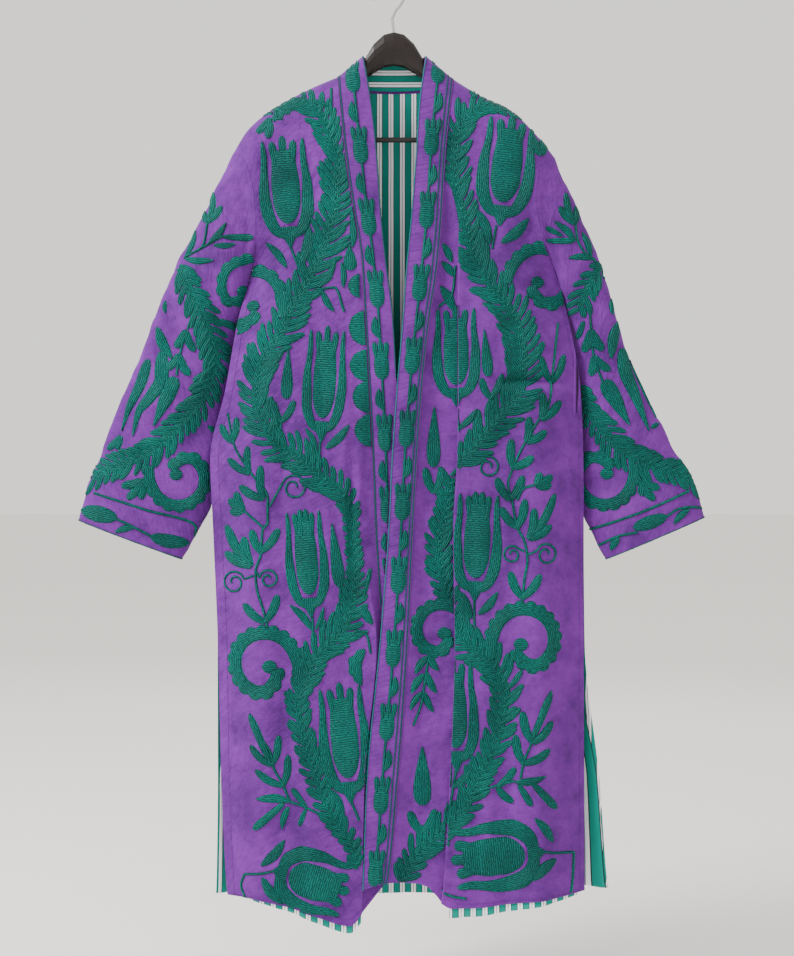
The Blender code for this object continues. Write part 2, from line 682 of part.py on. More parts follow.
for name, table, panel, side in (("band_left", BAND_LEFT, front_left, -1),
                                 ("band_right", BAND_RIGHT, front_right, 1)):
    bow = 0 if side < 0 else OVERLAP_LIFT
    grid = band_grid(band_front_grid(table, panel, bow), side)
    directions = inward_directions(grid, False, np.array((0, 0, 1)))
    directions[-len(LEVELS):, -1] = front_directions(panel)[:, -1]
    wall(name, grid, moved_in(grid, directions, BAND_CLOTH), material(name, (0.24, 0.1, 0.38), 0.8))
    facing = moved_in(grid, directions, BAND_CLOTH + SEAM_GAP)[:FACING_ROWS]
    facing[:, -1] = blend(facing[:, 1], facing[:, -1], FACING_REACH)
    facing_inside = moved_in(facing, directions[:FACING_ROWS], LINING)
    facing_name = name.replace("band", "neck_facing")
    wall(facing_name, facing, facing_inside, material(facing_name, (0.35, 0.5, 0.42), 0.9))

striped = {"colour": (0.35, 0.5, 0.42), "roughness": 0.9}
lining = back_lining(back, back_directions(back))
lining_inside = moved_in(lining, back_directions(back)[:, 1:-1], LINING)
wall("lining_back", lining, lining_inside, material("lining_back", **striped))

for name, grid, border in (("lining_front_left", front_left, BORDER_LEFT),
                           ("lining_front_right", front_right, BORDER_RIGHT)):
    directions = front_directions(grid)
    strip = front_lining(grid, directions, border)
    reach = directions[-3:, 1:MAIN_COLUMNS]
    reach = np.concatenate((reach, reach[-1:]))
    wall(name, strip, moved_in(strip, reach, LINING), material(name, **striped))

wood = material("hanger_wood", (0.035, 0.018, 0.014), 0.35)
hanger_wood(wood)
hanger_bar(material("hanger_bar", (0.01, 0.01, 0.012), 0.4))
hanger_hook(material("hanger_hook", (0.6, 0.6, 0.6), 0.25, 1.0))
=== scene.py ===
"""The looks of a full-length embroidered cotton robe that hangs open on a wooden hanger.

Sizes are in millimetres until a mesh is made. Places are given by x, to the right of the hanger's
stem, and by drop, the distance below the inside top of its hook. The robe faces -Y, and left and
right are the viewer's.
"""
import math

import bmesh
import bpy
import numpy as np
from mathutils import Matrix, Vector, noise
from mathutils.bvhtree import BVHTree


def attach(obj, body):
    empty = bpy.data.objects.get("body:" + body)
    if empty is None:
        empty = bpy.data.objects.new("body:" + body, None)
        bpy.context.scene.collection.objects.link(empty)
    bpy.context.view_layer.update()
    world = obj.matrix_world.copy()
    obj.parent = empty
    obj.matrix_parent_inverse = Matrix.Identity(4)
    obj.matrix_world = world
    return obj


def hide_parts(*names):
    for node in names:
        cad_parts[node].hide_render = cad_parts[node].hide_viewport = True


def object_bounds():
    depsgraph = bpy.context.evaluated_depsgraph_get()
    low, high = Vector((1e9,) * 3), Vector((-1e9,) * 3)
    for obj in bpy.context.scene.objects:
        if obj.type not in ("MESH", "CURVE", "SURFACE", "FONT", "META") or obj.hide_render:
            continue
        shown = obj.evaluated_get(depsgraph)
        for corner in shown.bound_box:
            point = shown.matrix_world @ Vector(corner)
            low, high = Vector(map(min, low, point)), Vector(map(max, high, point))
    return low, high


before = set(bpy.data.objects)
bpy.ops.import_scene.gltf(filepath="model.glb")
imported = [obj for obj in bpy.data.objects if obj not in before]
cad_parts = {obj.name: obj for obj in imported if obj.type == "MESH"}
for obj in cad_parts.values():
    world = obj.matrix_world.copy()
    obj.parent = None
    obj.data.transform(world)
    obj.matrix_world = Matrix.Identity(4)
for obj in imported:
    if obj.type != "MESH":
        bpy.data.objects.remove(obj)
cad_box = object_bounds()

# The two front panels
# Heavy hand-woven cotton cut as two long panels, sewn at the shoulder and side seams. The left one
# rolls under towards its hem, and the right one is knife-folded under along its whole length.
MM = 0.001
STEM_X = 7.0
CLOTH = 1.8
SEAM_GAP = 0.3
RIDGE = 34.0
SIDE_SEAM_GAP = 0.15
SIDE_CREASE = 75.0
KNIFE_FOLD = 12.0

# The panels' tables have a value for each level, from 0 at the shoulder to 11 at the hem.
ARMHOLE_LEVEL = 4
SLIT_LEVEL = 9
HEM_LEVEL = 11
UNDERARM_ROW = 33
ROWS_BELOW = 172
LEVELS = np.concatenate((np.linspace(0, ARMHOLE_LEVEL, UNDERARM_ROW + 1),
                         np.linspace(ARMHOLE_LEVEL, HEM_LEVEL, ROWS_BELOW)[1:]))
TABLE_LEVELS = tuple(range(HEM_LEVEL + 1))
MAIN_COLUMNS = {"front_left": 42, "front_right": 40}
FOLDED_COLUMNS = {"front_left": 9, "front_right": 28}
LINED_COLUMNS = 38

BODY = {
    "open":        (1, 1, 1, 0.8, 0, 0, 0, 0, 0, 0, 0, 0),
    "front_depth": (22, 24, 26, 27, 27, 28, 30, 32, 34, 37, 40, 43),
    "back_depth":  (22, 24, 26, 27, 28, 30, 33, 36, 38, 40, 43, 46),
    "side_y":      (0, 0, 0, 0, 0, -5, -8, -8, -8, -8, -8, -8),
}
FRONT_LEFT = {
    "side_x":    (-223.6, -202, -191, -189.5, -197, -215.3, -233.3, -254.2, -250, -243.5, -239, -229.7),
    "side_drop": (256.9, 283, 325, 375, 422, 485, 585, 681, 782, 935, 1117, 1283),
    "fold_x":    (-98, -94, -86, -77, -65, -61, -54, -50, -46, -24, -40, -44),
    "band_x":    (-77.8, -73.5, -66, -57, -44.5, -40.5, -34.2, -29.8, -26, -17, -14, -11),
    "band_drop": (150, 200, 270, 330, 410, 480, 585, 681, 782, 935, 1112, 1262),
    "lift":      (0, 0, 0, 0, 0, 1, 4, 5, 6, 10, 18, 18),
    "fold":      (0, 0, 0, 0, 0, 0, 0, 0, 0, 0.6, 1, 1),
}
FRONT_RIGHT = {
    "side_x":    (223.1, 200, 194.6, 204, 224, 241, 258, 262, 262.5, 262.5, 263, 263.9),
    "side_drop": (262, 287, 325, 375, 422, 485, 585, 681, 782, 935, 1117, 1277),
    "fold_x":    (112, 100, 92, 89, 87.5, 87.5, 87.5, 86, 81, 82.5, 76, 64),
    "band_x":    (82, 77, 70, 66.5, 59, 49, 39, 32, 26.5, 19.3, 6.3, -9.7),
    "band_drop": (153, 200, 270, 340, 425, 490, 585, 681, 782, 935, 1117, 1259),
    "lift":      (0, 0, 0, 0, 0, 0, 0, 0, 0, 1, 2, 2),
    "fold":      (0, 0, 0.1, 0.45, 0.8, 1, 1, 1, 1, 1, 1, 1),
}
SHOULDER_LEFT = {
    "x":    (-223.6, -202.8, -173.6, -116.7, -77.8),
    "drop": (256.9, 223.6, 198.6, 166.7, 150.0),
}
SHOULDER_RIGHT = {
    "x":    (82, 120.3, 162.5, 201.4, 223.1),
    "drop": (153, 176.4, 197.2, 234.7, 262),
}
HEM_LEFT = {
    "x":    (-229.7, -202.8, -147, -107, -60, -43, -11),
    "drop": (1283, 1282, 1290, 1303, 1317, 1300, 1262),
}
HEM_RIGHT = {
    "x":    (-9.7, 33, 51, 64, 79, 172, 263.9),
    "drop": (1259, 1261, 1268, 1286, 1293, 1285, 1277),
}

# The large folds, as the solids have them: top and foot x, top and foot level, depth and width.
FOLD_COLUMNS = ("top_x", "foot_x", "top_level", "foot_level", "depth", "width")
FRONT_FOLDS = (
    (-70, -62, 5.0, 9.0, -5.0, 13),
    (-125, -112, 5.0, 11.0, -5.0, 28),
    (-190, -185, 5.0, 11.0, -4.0, 22),
    (-160, -150, 1.0, 4.5, -3.5, 24),
    (135, 120, 3.0, 11.0, -4.5, 24),
    (185, 195, 4.0, 11.0, -5.0, 26),
    (150, 160, 0.6, 3.5, -3.5, 24),
)

# Smaller creases, from one end to the other: a trough is deeper than 0 and a ridge less. They and
# the lumps fade out towards the seams. A row of lumps has their size, height and seed.
CREASE_STRENGTH = 1.7
FADE_BELOW_TOP = 40
FADE_AT_EDGE = 12
FRONT_LUMPS = ((46, 2.8, 0), (17, 1.5, 9))
CREASE_COLUMNS = ("x0", "drop0", "x1", "drop1", "width", "depth")
FRONT_CREASES = (
    (-57, 650, -60, 850, 6, 3.2),
    (-42, 560, -48, 760, 7, -1.8),
    (-92, 690, -84, 905, 9, -2.2),
    (-105, 480, -100, 640, 8, 1.6),
    (-246, 868, -204, 880, 6, 3.2),
    (-238, 1108, -190, 1117, 6, 3.4),
    (-236, 1010, -200, 985, 7, -1.5),
    (-215, 560, -196, 700, 9, 1.8),
    (-172, 560, -160, 780, 12, -2.4),
    (-150, 900, -142, 1120, 11, 2.0),
    (-212, 1130, -203, 1270, 10, -2.2),
    (-130, 1150, -122, 1290, 9, 1.8),
    (-186, 330, -150, 372, 9, 1.8),
    (-188, 400, -158, 432, 8, -1.4),
    (-120, 250, -108, 420, 12, 1.5),
    (128, 575, 253, 573, 6, 3.8),
    (150, 592, 250, 594, 8, -2.2),
    (212, 828, 254, 842, 6, 3.6),
    (222, 858, 258, 866, 6, -1.6),
    (196, 350, 168, 392, 8, 1.9),
    (214, 422, 176, 450, 8, 1.8),
    (150, 640, 158, 850, 11, -2.2),
    (215, 900, 224, 1120, 11, 1.9),
    (170, 1060, 176, 1280, 10, -2.2),
    (108, 700, 104, 900, 8, 1.8),
    (118, 1100, 110, 1280, 9, 2.0),
    (48, 906, 76, 899, 5, 2.6),
    (46, 918, 78, 914, 4, -1.2),
    (48, 931, 74, 930, 5, 2.6),
    (38, 1010, 70, 1002, 5, 1.4),
    (240, 640, 247, 800, 6, -1.8),
)


def table_value(places, values, place):
    """Values read between the rows of a table by a smooth curve that never overshoots a row."""
    places = np.asarray(places, float)
    values = np.asarray(values, float)
    place = np.clip(np.asarray(place, float), places[0], places[-1])
    steps = np.diff(values) / np.diff(places)
    product = steps[:-1] * steps[1:]
    rising = product > 0
    slopes = np.concatenate((steps[:1], np.zeros(len(steps) - 1), steps[-1:]))
    slopes[1:-1][rising] = 2 * product[rising] / (steps[:-1] + steps[1:])[rising]
    row = np.clip(np.searchsorted(places, place, side="right") - 1, 0, len(places) - 2)
    width = places[row + 1] - places[row]
    t = (place - places[row]) / width
    start = (2 * t**3 - 3 * t**2 + 1) * values[row] + (t**3 - 2 * t**2 + t) * width * slopes[row]
    end = (3 * t**2 - 2 * t**3) * values[row + 1] + (t**3 - t**2) * width * slopes[row + 1]
    return start + end


def at_level(table, name, level):
    return table_value(TABLE_LEVELS, table[name], level)


def blend(start, end, amount):
    return start + (end - start) * amount


def rounding(distance, radius):
    """0 at an edge, rising like a quarter circle to 1 at the radius."""
    t = np.clip(distance / radius, 0, 1)
    return np.sqrt(1 - (1 - t) ** 2)


def side_rounding(distance):
    """The body's section closes to a soft crease at the side seam."""
    return np.sin(np.clip(distance / SIDE_CREASE, 0, 1) * math.pi / 2)


def fold_depth(folds, x, level):
    """Depth of the large folds at each place, positive to the back."""
    total = np.zeros(np.broadcast(x, level).shape)
    for row in folds:
        fold = dict(zip(FOLD_COLUMNS, row))
        along = (level - fold["top_level"]) / (fold["foot_level"] - fold["top_level"])
        half = 0.5 if fold["foot_level"] == TABLE_LEVELS[-1] else 1
        fade = np.sin(np.clip(along, 0, half) * math.pi)
        centre = blend(fold["top_x"], fold["foot_x"], np.clip(along, 0, 1))
        total += fold["depth"] * fade * np.exp(-((x - centre) / fold["width"]) ** 2)
    return total


def crease_depth(creases, x, drop):
    """Depth of the smaller creases, which fade out towards both of their ends."""
    total = np.zeros(x.shape)
    for row in creases:
        crease = dict(zip(CREASE_COLUMNS, row))
        run = np.array((crease["x1"] - crease["x0"], crease["drop1"] - crease["drop0"]))
        length = math.hypot(*run)
        from_start = (x - crease["x0"], drop - crease["drop0"])
        along = (from_start[0] * run[0] + from_start[1] * run[1]) / length**2
        beside = (from_start[0] * run[1] - from_start[1] * run[0]) / length
        fade = np.sin(np.clip(along, 0, 1) * math.pi) ** 0.7
        total += crease["depth"] * fade * np.exp(-(beside / crease["width"]) ** 2)
    return total


def unevenness(grid, lumps, seed=0.0):
    """The soft lumps of cloth that has been folded away and then hung up."""
    total = 0
    for size, height, own in lumps:
        rises = [[noise.noise(Vector((x, drop, seed + own)) / size) for x, y, drop in row] for row in grid]
        total = total + np.array(rises) * height
    return total


def fading(distance, width):
    """0 at an edge, rising evenly to 1 at the width."""
    return np.clip(distance / width, 0, 1)


def front_y(distance_from_side, below_top, level, x, lift):
    """Outer surface of a front: it rounds over the shoulder and closes at the side seam."""
    side_y = at_level(BODY, "side_y", level)
    opened = at_level(BODY, "open", level)
    depth = at_level(BODY, "front_depth", level)
    across = opened + (1 - opened) * side_rounding(distance_from_side)
    reach = CLOTH + (depth + side_y - lift - fold_depth(FRONT_FOLDS, x, level)) * across
    return side_y - SIDE_SEAM_GAP - rounding(below_top, RIDGE) * reach


def through_columns(start, columns, count):
    """Finer columns through the few that a fold is given by, with x and lift for each level."""
    places = np.arange(len(columns) + 1)
    fine = np.linspace(0, len(columns), count + 1)[1:]
    x = np.stack([start[0]] + [column[0] for column in columns], axis=1)
    lift = np.stack([start[1]] + [column[1] for column in columns], axis=1)
    x = np.stack([table_value(places, row, fine) for row in x])
    lift = np.stack([table_value(places, row, fine) for row in lift])
    return x, lift


def front_left_columns():
    """Columns from the side to the fold, round the fold, and on to the band: x and lift."""
    value = {name: at_level(FRONT_LEFT, name, LEVELS) for name in FRONT_LEFT}
    shares = np.linspace(0, 1, MAIN_COLUMNS["front_left"])
    main_x = blend(value["side_x"][:, None], value["fold_x"][:, None], shares)
    span = value["band_x"] - value["fold_x"]
    fold, lift = value["fold"], value["lift"]
    steps = ((0.33, 0.8, 0.35), (0.66, 0.45 * span, 0.75), (1, span, 1))
    columns = []
    for even, folded, share in steps:
        x = value["fold_x"] + blend(even * span, folded, fold)
        columns.append((x, lift * blend(even, share, fold)))
    x, lifts = through_columns((value["fold_x"], 0 * lift), columns, FOLDED_COLUMNS["front_left"])
    return value, np.hstack((main_x, x)), np.hstack((0 * main_x, lifts))


def front_right_columns():
    """Columns from the side to the knife fold, through its return, and on to the band."""
    value = {name: at_level(FRONT_RIGHT, name, LEVELS) for name in FRONT_RIGHT}
    start, band, fold = value["fold_x"] + KNIFE_FOLD, value["band_x"], value["fold"]
    shares = np.linspace(0, 1, MAIN_COLUMNS["front_right"])
    main_x = blend(value["side_x"][:, None], start[:, None], shares)
    span = band - start
    mid = blend(value["fold_x"], band, 0.55)
    steps = (
        (0.14, value["fold_x"] + 1.5, 0),
        (0.28, value["fold_x"], 2.5),
        (0.42, value["fold_x"] + 2, 5),
        (0.56, value["fold_x"] + 10, 6),
        (0.70, value["fold_x"] + 1, 8.5),
        (0.85, mid, 9),
    )
    columns = [(blend(start + even * span, folded, fold), lift * fold) for even, folded, lift in steps]
    columns.append((band, value["lift"]))
    x, lifts = through_columns((start, 0 * start), columns, FOLDED_COLUMNS["front_right"])
    return value, np.hstack((main_x, x)), np.hstack((0 * main_x, lifts))


def straight_top(shoulder, x):
    share = (x - shoulder["x"][0]) / (shoulder["x"][-1] - shoulder["x"][0])
    return blend(shoulder["drop"][0], shoulder["drop"][-1], share)


def at_hem(level):
    """1 at the hem, falling to 0 one level above it."""
    return np.clip(level - (HEM_LEVEL - 1), 0, 1) ** 2


def front_grid(columns, shoulder, hem, seed):
    """Outer points of a front panel, one row for each level."""
    value, x, lift = columns
    level = LEVELS[:, None]
    share = (x - value["side_x"][:, None]) / (value["band_x"] - value["side_x"])[:, None]
    drop = blend(value["side_drop"][:, None], value["band_drop"][:, None], share)
    curved = table_value(shoulder["x"], shoulder["drop"], x) - straight_top(shoulder, x)
    drop = drop + curved * np.clip(1 - level / 2, 0, 1) ** 2
    drop = blend(drop, table_value(hem["x"], hem["drop"], x), at_hem(level))
    distance = np.abs(x - value["side_x"][:, None])
    y = front_y(distance, drop - drop[:1], level, x, lift)
    grid = np.stack((x, y, drop), axis=2)
    to_band = np.abs(x - value["band_x"][:, None])
    free = fading(drop - drop[:1], FADE_BELOW_TOP)
    free = free * fading(distance, FADE_AT_EDGE) * fading(to_band, FADE_AT_EDGE)
    creases = CREASE_STRENGTH * crease_depth(FRONT_CREASES, x, drop)
    grid[:, :, 1] += free * (creases + unevenness(grid, FRONT_LUMPS, seed))
    return grid


def inward_directions(grid, closed, towards):
    """Unit directions from the outer points into the garment, from the grid's own slopes."""
    along = np.gradient(grid, axis=0)
    if closed:
        across = np.roll(grid, -1, axis=1) - np.roll(grid, 1, axis=1)
    else:
        across = np.gradient(grid, axis=1)
    directions = np.cross(along, across)
    directions /= np.linalg.norm(directions, axis=2, keepdims=True)
    if (directions * towards).sum() < 0:
        directions = -directions
    return directions


def front_directions(grid):
    """Into the garment, straight down at the shoulder seam and straight back at the side seam."""
    directions = inward_directions(grid, False, np.array((0, 1, 0)))
    directions[0] = (0, 0, 1)
    directions[UNDERARM_ROW:, 0] = (0, 1, 0)
    directions[1:, -1, 0] = 0
    directions[1:, -1] /= np.linalg.norm(directions[1:, -1], axis=1, keepdims=True)
    return directions


def to_world(points):
    world = np.empty(points.shape)
    world[..., 0] = (points[..., 0] + STEM_X) * MM
    world[..., 1] = points[..., 1] * MM
    world[..., 2] = -points[..., 2] * MM
    return world


def cloth_lengths(grid):
    """Distance across and down the cloth at each point, in metres, for its weave and stripes."""
    across = np.linalg.norm(np.diff(grid, axis=1), axis=2).cumsum(axis=1)
    down = np.linalg.norm(np.diff(grid, axis=0), axis=2).cumsum(axis=0)
    across = np.hstack((np.zeros((len(grid), 1)), across))
    down = np.vstack((np.zeros((1, grid.shape[1])), down))
    return np.stack((across, down), axis=2) * MM


SHARP_EDGE = 50


def wall(name, outer, inner, lengths, finishes, closed=False, lined=math.inf):
    """A closed cloth wall between two grids, with a finish for its outside and one for its inside.
    The inside has its own finish only in the columns that are lined."""
    rows, columns = outer.shape[:2]
    index = np.arange(2 * rows * columns).reshape(2, rows, columns)
    if closed:
        index = np.concatenate((index, index[:, :, :1]), axis=2)
    faces, uvs, kinds = [], [], []

    def add(corners, places, kind):
        faces.append(np.stack(corners, axis=-1).reshape(-1, 4))
        uvs.append(np.stack(places, axis=-2).reshape(-1, 2))
        kinds.append(np.full(len(faces[-1]), kind))

    for layer in (0, 1):
        near = index[layer]
        kind = layer * np.tile(np.arange(near.shape[1] - 1) < lined, rows - 1)
        add((near[:-1, :-1], near[:-1, 1:], near[1:, 1:], near[1:, :-1]),
            (lengths[:-1, :-1], lengths[:-1, 1:], lengths[1:, 1:], lengths[1:, :-1]), kind)
    for row in (0, -1):
        add((index[0, row, :-1], index[0, row, 1:], index[1, row, 1:], index[1, row, :-1]),
            (lengths[row, :-1], lengths[row, 1:], lengths[row, 1:], lengths[row, :-1]), 0)
    for column in () if closed else (0, -1):
        add((index[0, :-1, column], index[0, 1:, column], index[1, 1:, column], index[1, :-1, column]),
            (lengths[:-1, column], lengths[1:, column], lengths[1:, column], lengths[:-1, column]), 0)
    points = np.concatenate((to_world(outer).reshape(-1, 3), to_world(inner).reshape(-1, 3)))
    mesh = bpy.data.meshes.new(name)
    mesh.from_pydata(points.tolist(), [], np.concatenate(faces).tolist())
    mesh.uv_layers.new(name="cloth").data.foreach_set("uv", np.concatenate(uvs).ravel())
    mesh.polygons.foreach_set("material_index", np.concatenate(kinds))
    work = bmesh.new()
    work.from_mesh(mesh)
    bmesh.ops.recalc_face_normals(work, faces=work.faces)
    work.to_mesh(mesh)
    work.free()
    for finish in finishes:
        mesh.materials.append(finish)
    mesh.shade_smooth()
    mesh.set_sharp_from_angle(angle=math.radians(SHARP_EDGE))
    made = bpy.data.objects.new(name, mesh)
    bpy.context.scene.collection.objects.link(made)
    return made


def linear(hex_colour):
    """A colour written as sRGB hex, as the shader's linear values."""
    parts = [int(hex_colour[place:place + 2], 16) / 255 for place in (1, 3, 5)]
    return [part / 12.92 if part <= 0.04045 else ((part + 0.055) / 1.055) ** 2.4 for part in parts] + [1]


def set_up(tree, made, links=(), settings=()):
    """Links and settings of a node, as pairs of an input and what feeds it or its value."""
    for name, value in settings:
        made.inputs[name].default_value = value
    for name, source in links:
        tree.links.new(source, made.inputs[name])
    return made


def node(tree, kind, links=(), settings=(), **values):
    """Adds a node with its own values, its links and its settings."""
    made = tree.nodes.new(kind)
    for name, value in values.items():
        setattr(made, name, value)
    return set_up(tree, made, links, settings)


def new_material(name):
    made = bpy.data.materials.new(name)
    made.use_nodes = True
    return made, made.node_tree, made.node_tree.nodes["Principled BSDF"]


def per_metre(size):
    """How often a pattern of a size in millimetres comes in a metre, which is a texture's scale."""
    return 1 / (size * MM)


def purple_cotton(name, pucker_sizes):
    """Plain-woven cotton dyed purple: matt, with slubs, fading and puckers from the stitching. The
    weave is drawn at 1.1 mm, about twice its real size, so that it shows."""
    made, tree, shader = new_material(name)
    place = node(tree, "ShaderNodeTexCoord")
    scaled = node(tree, "ShaderNodeMapping", [("Vector", place.outputs["UV"])],
                  [("Scale", (per_metre(1.1), per_metre(1.1), 1))])
    parts = node(tree, "ShaderNodeSeparateXYZ", [("Vector", scaled.outputs["Vector"])])
    waves = []
    for axis in "XY":
        turns = node(tree, "ShaderNodeMath", [(0, parts.outputs[axis])], [(1, math.pi)],
                     operation="MULTIPLY")
        waves.append(node(tree, "ShaderNodeMath", [(0, turns.outputs[0])], operation="SINE"))
    weave = node(tree, "ShaderNodeMath", [(0, waves[0].outputs[0]), (1, waves[1].outputs[0])],
                 operation="MULTIPLY")
    slubs = node(tree, "ShaderNodeTexNoise", [("Vector", place.outputs["Object"])],
                 [("Scale", per_metre(2.381)), ("Detail", 3), ("Roughness", 0.6)])
    fade = node(tree, "ShaderNodeTexNoise", [("Vector", place.outputs["Object"])],
                [("Scale", per_metre(66.67)), ("Detail", 6), ("Roughness", 0.75)])
    drawn = node(tree, "ShaderNodeMapping", [("Vector", place.outputs["UV"])],
                 [("Scale", (per_metre(pucker_sizes[0]), per_metre(pucker_sizes[1]), 1))])
    puckers = node(tree, "ShaderNodeTexNoise", [("Vector", drawn.outputs["Vector"])],
                   [("Scale", 1), ("Detail", 2.5), ("Roughness", 0.55), ("Distortion", 0.4)])
    worn = node(tree, "ShaderNodeMapRange", [("Value", fade.outputs["Fac"])],
                [("From Min", 0.34), ("From Max", 0.66)])
    tone = node(tree, "ShaderNodeMix", [("Factor", worn.outputs[0])],
                [("A", linear("#46195f")), ("B", linear("#6c2b87"))], data_type="RGBA")
    speck = node(tree, "ShaderNodeMix", [("Factor", slubs.outputs["Fac"]), ("A", tone.outputs["Result"])],
                 [("B", linear("#c493d8"))], data_type="RGBA", blend_type="SOFT_LIGHT")
    coarse = node(tree, "ShaderNodeBump", [("Height", puckers.outputs["Fac"])],
                  [("Strength", 1), ("Distance", 2.6 * MM)])
    fine = node(tree, "ShaderNodeBump", [("Height", weave.outputs[0]), ("Normal", coarse.outputs["Normal"])],
                [("Strength", 0.35), ("Distance", 0.25 * MM)])
    set_up(tree, shader, [("Base Color", speck.outputs["Result"]), ("Normal", fine.outputs["Normal"])],
           [("Roughness", 0.88), ("Specular IOR Level", 0.25), ("Sheen Weight", 0.12),
            ("Sheen Roughness", 0.5), ("Sheen Tint", linear("#c890e0"))])
    return made


# Where each stripe starts, as a share of the repeat, and its colour.
STRIPE_REPEAT = 16
STRIPES = ((0, "#008a7d"), (0.47, "#1e3a3a"), (0.53, "#eef0f6"), (0.69, "#7c8288"), (0.75, "#eef0f6"),
           (0.94, "#1e3a3a"))


def striped_cotton():
    """Thin woven lining: green and off-white warp stripes with a dark line along each white one."""
    made, tree, shader = new_material("striped_cotton")
    place = node(tree, "ShaderNodeTexCoord")
    parts = node(tree, "ShaderNodeSeparateXYZ", [("Vector", place.outputs["UV"])])
    turns = node(tree, "ShaderNodeMath", [(0, parts.outputs["X"])], [(1, STRIPE_REPEAT * MM)],
                 operation="DIVIDE")
    within = node(tree, "ShaderNodeMath", [(0, turns.outputs[0])], operation="FRACT")
    stripes = node(tree, "ShaderNodeValToRGB", [("Fac", within.outputs[0])])
    ramp = stripes.color_ramp
    ramp.interpolation = "CONSTANT"
    ramp.elements[1].position = STRIPES[1][0]
    for start, colour in STRIPES[2:]:
        ramp.elements.new(start)
    for element, (start, colour) in zip(ramp.elements, STRIPES):
        element.position = start
        element.color = linear(colour)
    threads = node(tree, "ShaderNodeTexNoise", [("Vector", place.outputs["Object"])],
                   [("Scale", per_metre(1.1111)), ("Detail", 2)])
    mixed = node(tree, "ShaderNodeMix",
                 [("Factor", threads.outputs["Fac"]), ("A", stripes.outputs["Color"])],
                 [("B", linear("#8f8f8f"))], data_type="RGBA", blend_type="SOFT_LIGHT")
    bump = node(tree, "ShaderNodeBump", [("Height", threads.outputs["Fac"])],
                [("Strength", 0.3), ("Distance", 0.2 * MM)])
    set_up(tree, shader, [("Base Color", mixed.outputs["Result"]), ("Normal", bump.outputs["Normal"])],
           [("Roughness", 0.85), ("Specular IOR Level", 0.25)])
    return made


PURPLE = purple_cotton("purple_cotton", (16.129, 10.526))
PUCKERED = purple_cotton("puckered_purple_cotton", (41.667, 5.7143))
STRIPED = striped_cotton()


def hang(piece, nodes):
    """Hangs a cloth piece from the root and hides the parts of the model that it stands for."""
    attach(piece, "root")
    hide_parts(*nodes)


front_left = front_grid(front_left_columns(), SHOULDER_LEFT, HEM_LEFT, 1.0)
front_right = front_grid(front_right_columns(), SHOULDER_RIGHT, HEM_RIGHT, 5.0)
for name, grid in (("front_left", front_left), ("front_right", front_right)):
    inside = grid + front_directions(grid) * CLOTH
    panel = wall("panel_" + name, grid, inside, cloth_lengths(grid), (PURPLE, STRIPED),
                 lined=LINED_COLUMNS)
    hang(panel, [name])

# The back panel
# One wide piece of the same cotton, cut with a shallow scoop behind the neck and joined to the
# fronts at the shoulders and down to the slits. It hangs freer than the fronts, in longer folds.
BACK = {
    "left_x":     (-223.6, -202, -191, -189.5, -197, -215.3, -233.3, -254.2, -250, -244, -244, -247),
    "right_x":    (223.1, 200, 194.6, 204, 224, 241, 258, 262, 262.5, 264, 284, 298.5),
    "left_drop":  (256.9, 283, 325, 375, 422, 485, 585, 681, 782, 935, 1117, 1283),
    "right_drop": (262, 287, 325, 375, 422, 485, 585, 681, 782, 935, 1117, 1275),
}
NECK_BAND = {
    "inner_x":    (41.5, 36, 24, 12, 0.15),
    "inner_drop": (121.6, 123, 125, 126, 126.4),
    "inner_y":    (6, 13, 18, 20, 20.5),
    "outer_x":    (74, 66, 46, 22, 0.15),
    "outer_drop": (153.5, 160, 166, 168, 168.5),
    "outer_y":    (9, 17, 22.5, 24, 24.5),
}
HEM_BACK = {
    "x":    (-247, -120, -40, 60, 130, 298.5),
    "drop": (1283, 1288, 1296, 1296, 1288, 1275),
}
BACK_FOLDS = (
    (-160, -190, 2.0, 11.0, 6.0, 34),
    (-70, -85, 3.0, 11.0, 7.0, 34),
    (25, 30, 2.0, 11.0, 6.0, 34),
    (110, 130, 2.5, 11.0, 7.0, 34),
    (180, 215, 3.0, 11.0, 5.0, 30),
)
BACK_CREASES = (
    (-120, 240, -90, 480, 14, -2.4),
    (-30, 230, -20, 520, 13, 2.2),
    (60, 240, 70, 500, 14, -2.2),
    (150, 260, 120, 450, 12, 2.0),
    (-196, 560, -150, 575, 5, -2.2),
    (150, 590, 236, 585, 5, -2.2),
    (-120, 620, -128, 900, 12, -2.4),
    (-30, 700, -40, 1000, 13, 2.6),
    (70, 640, 78, 960, 12, -2.4),
    (165, 700, 176, 980, 12, 2.4),
    (-215, 860, -170, 872, 6, -2.0),
    (190, 850, 240, 858, 6, -2.2),
    (-190, 1000, -205, 1260, 12, 2.2),
    (-100, 1020, -110, 1270, 12, -2.2),
    (10, 1040, 14, 1275, 12, -2.4),
    (120, 1030, 138, 1265, 12, 2.0),
    (230, 1060, 262, 1262, 11, -2.2),
)
BACK_LUMPS = ((52, 2.8, 3), (19, 1.4, 13))
SLIT_FLARE = 5.0
SHOULDER_POINTS = 28
NECK_MARGIN = 0.008
NECK_FADE_LEVEL = 4
NECK_PLACES = np.linspace(0, 4, 17)


def neck_row(edge, places):
    """Points along one edge of the band behind the neck, from the shoulder to the centre."""
    columns = [table_value(range(5), NECK_BAND[edge + "_" + axis], places) for axis in ("x", "y", "drop")]
    return np.stack(columns, axis=1)


def back_y(distance_from_side, below_top, level, x, neck_y):
    side_y = at_level(BODY, "side_y", level)
    opened = at_level(BODY, "open", level)
    depth = at_level(BODY, "back_depth", level)
    across = opened + (1 - opened) * side_rounding(distance_from_side)
    reach = CLOTH + (depth - side_y - neck_y + fold_depth(BACK_FOLDS, x, level)) * across
    return side_y + SIDE_SEAM_GAP + neck_y + rounding(below_top, RIDGE) * reach


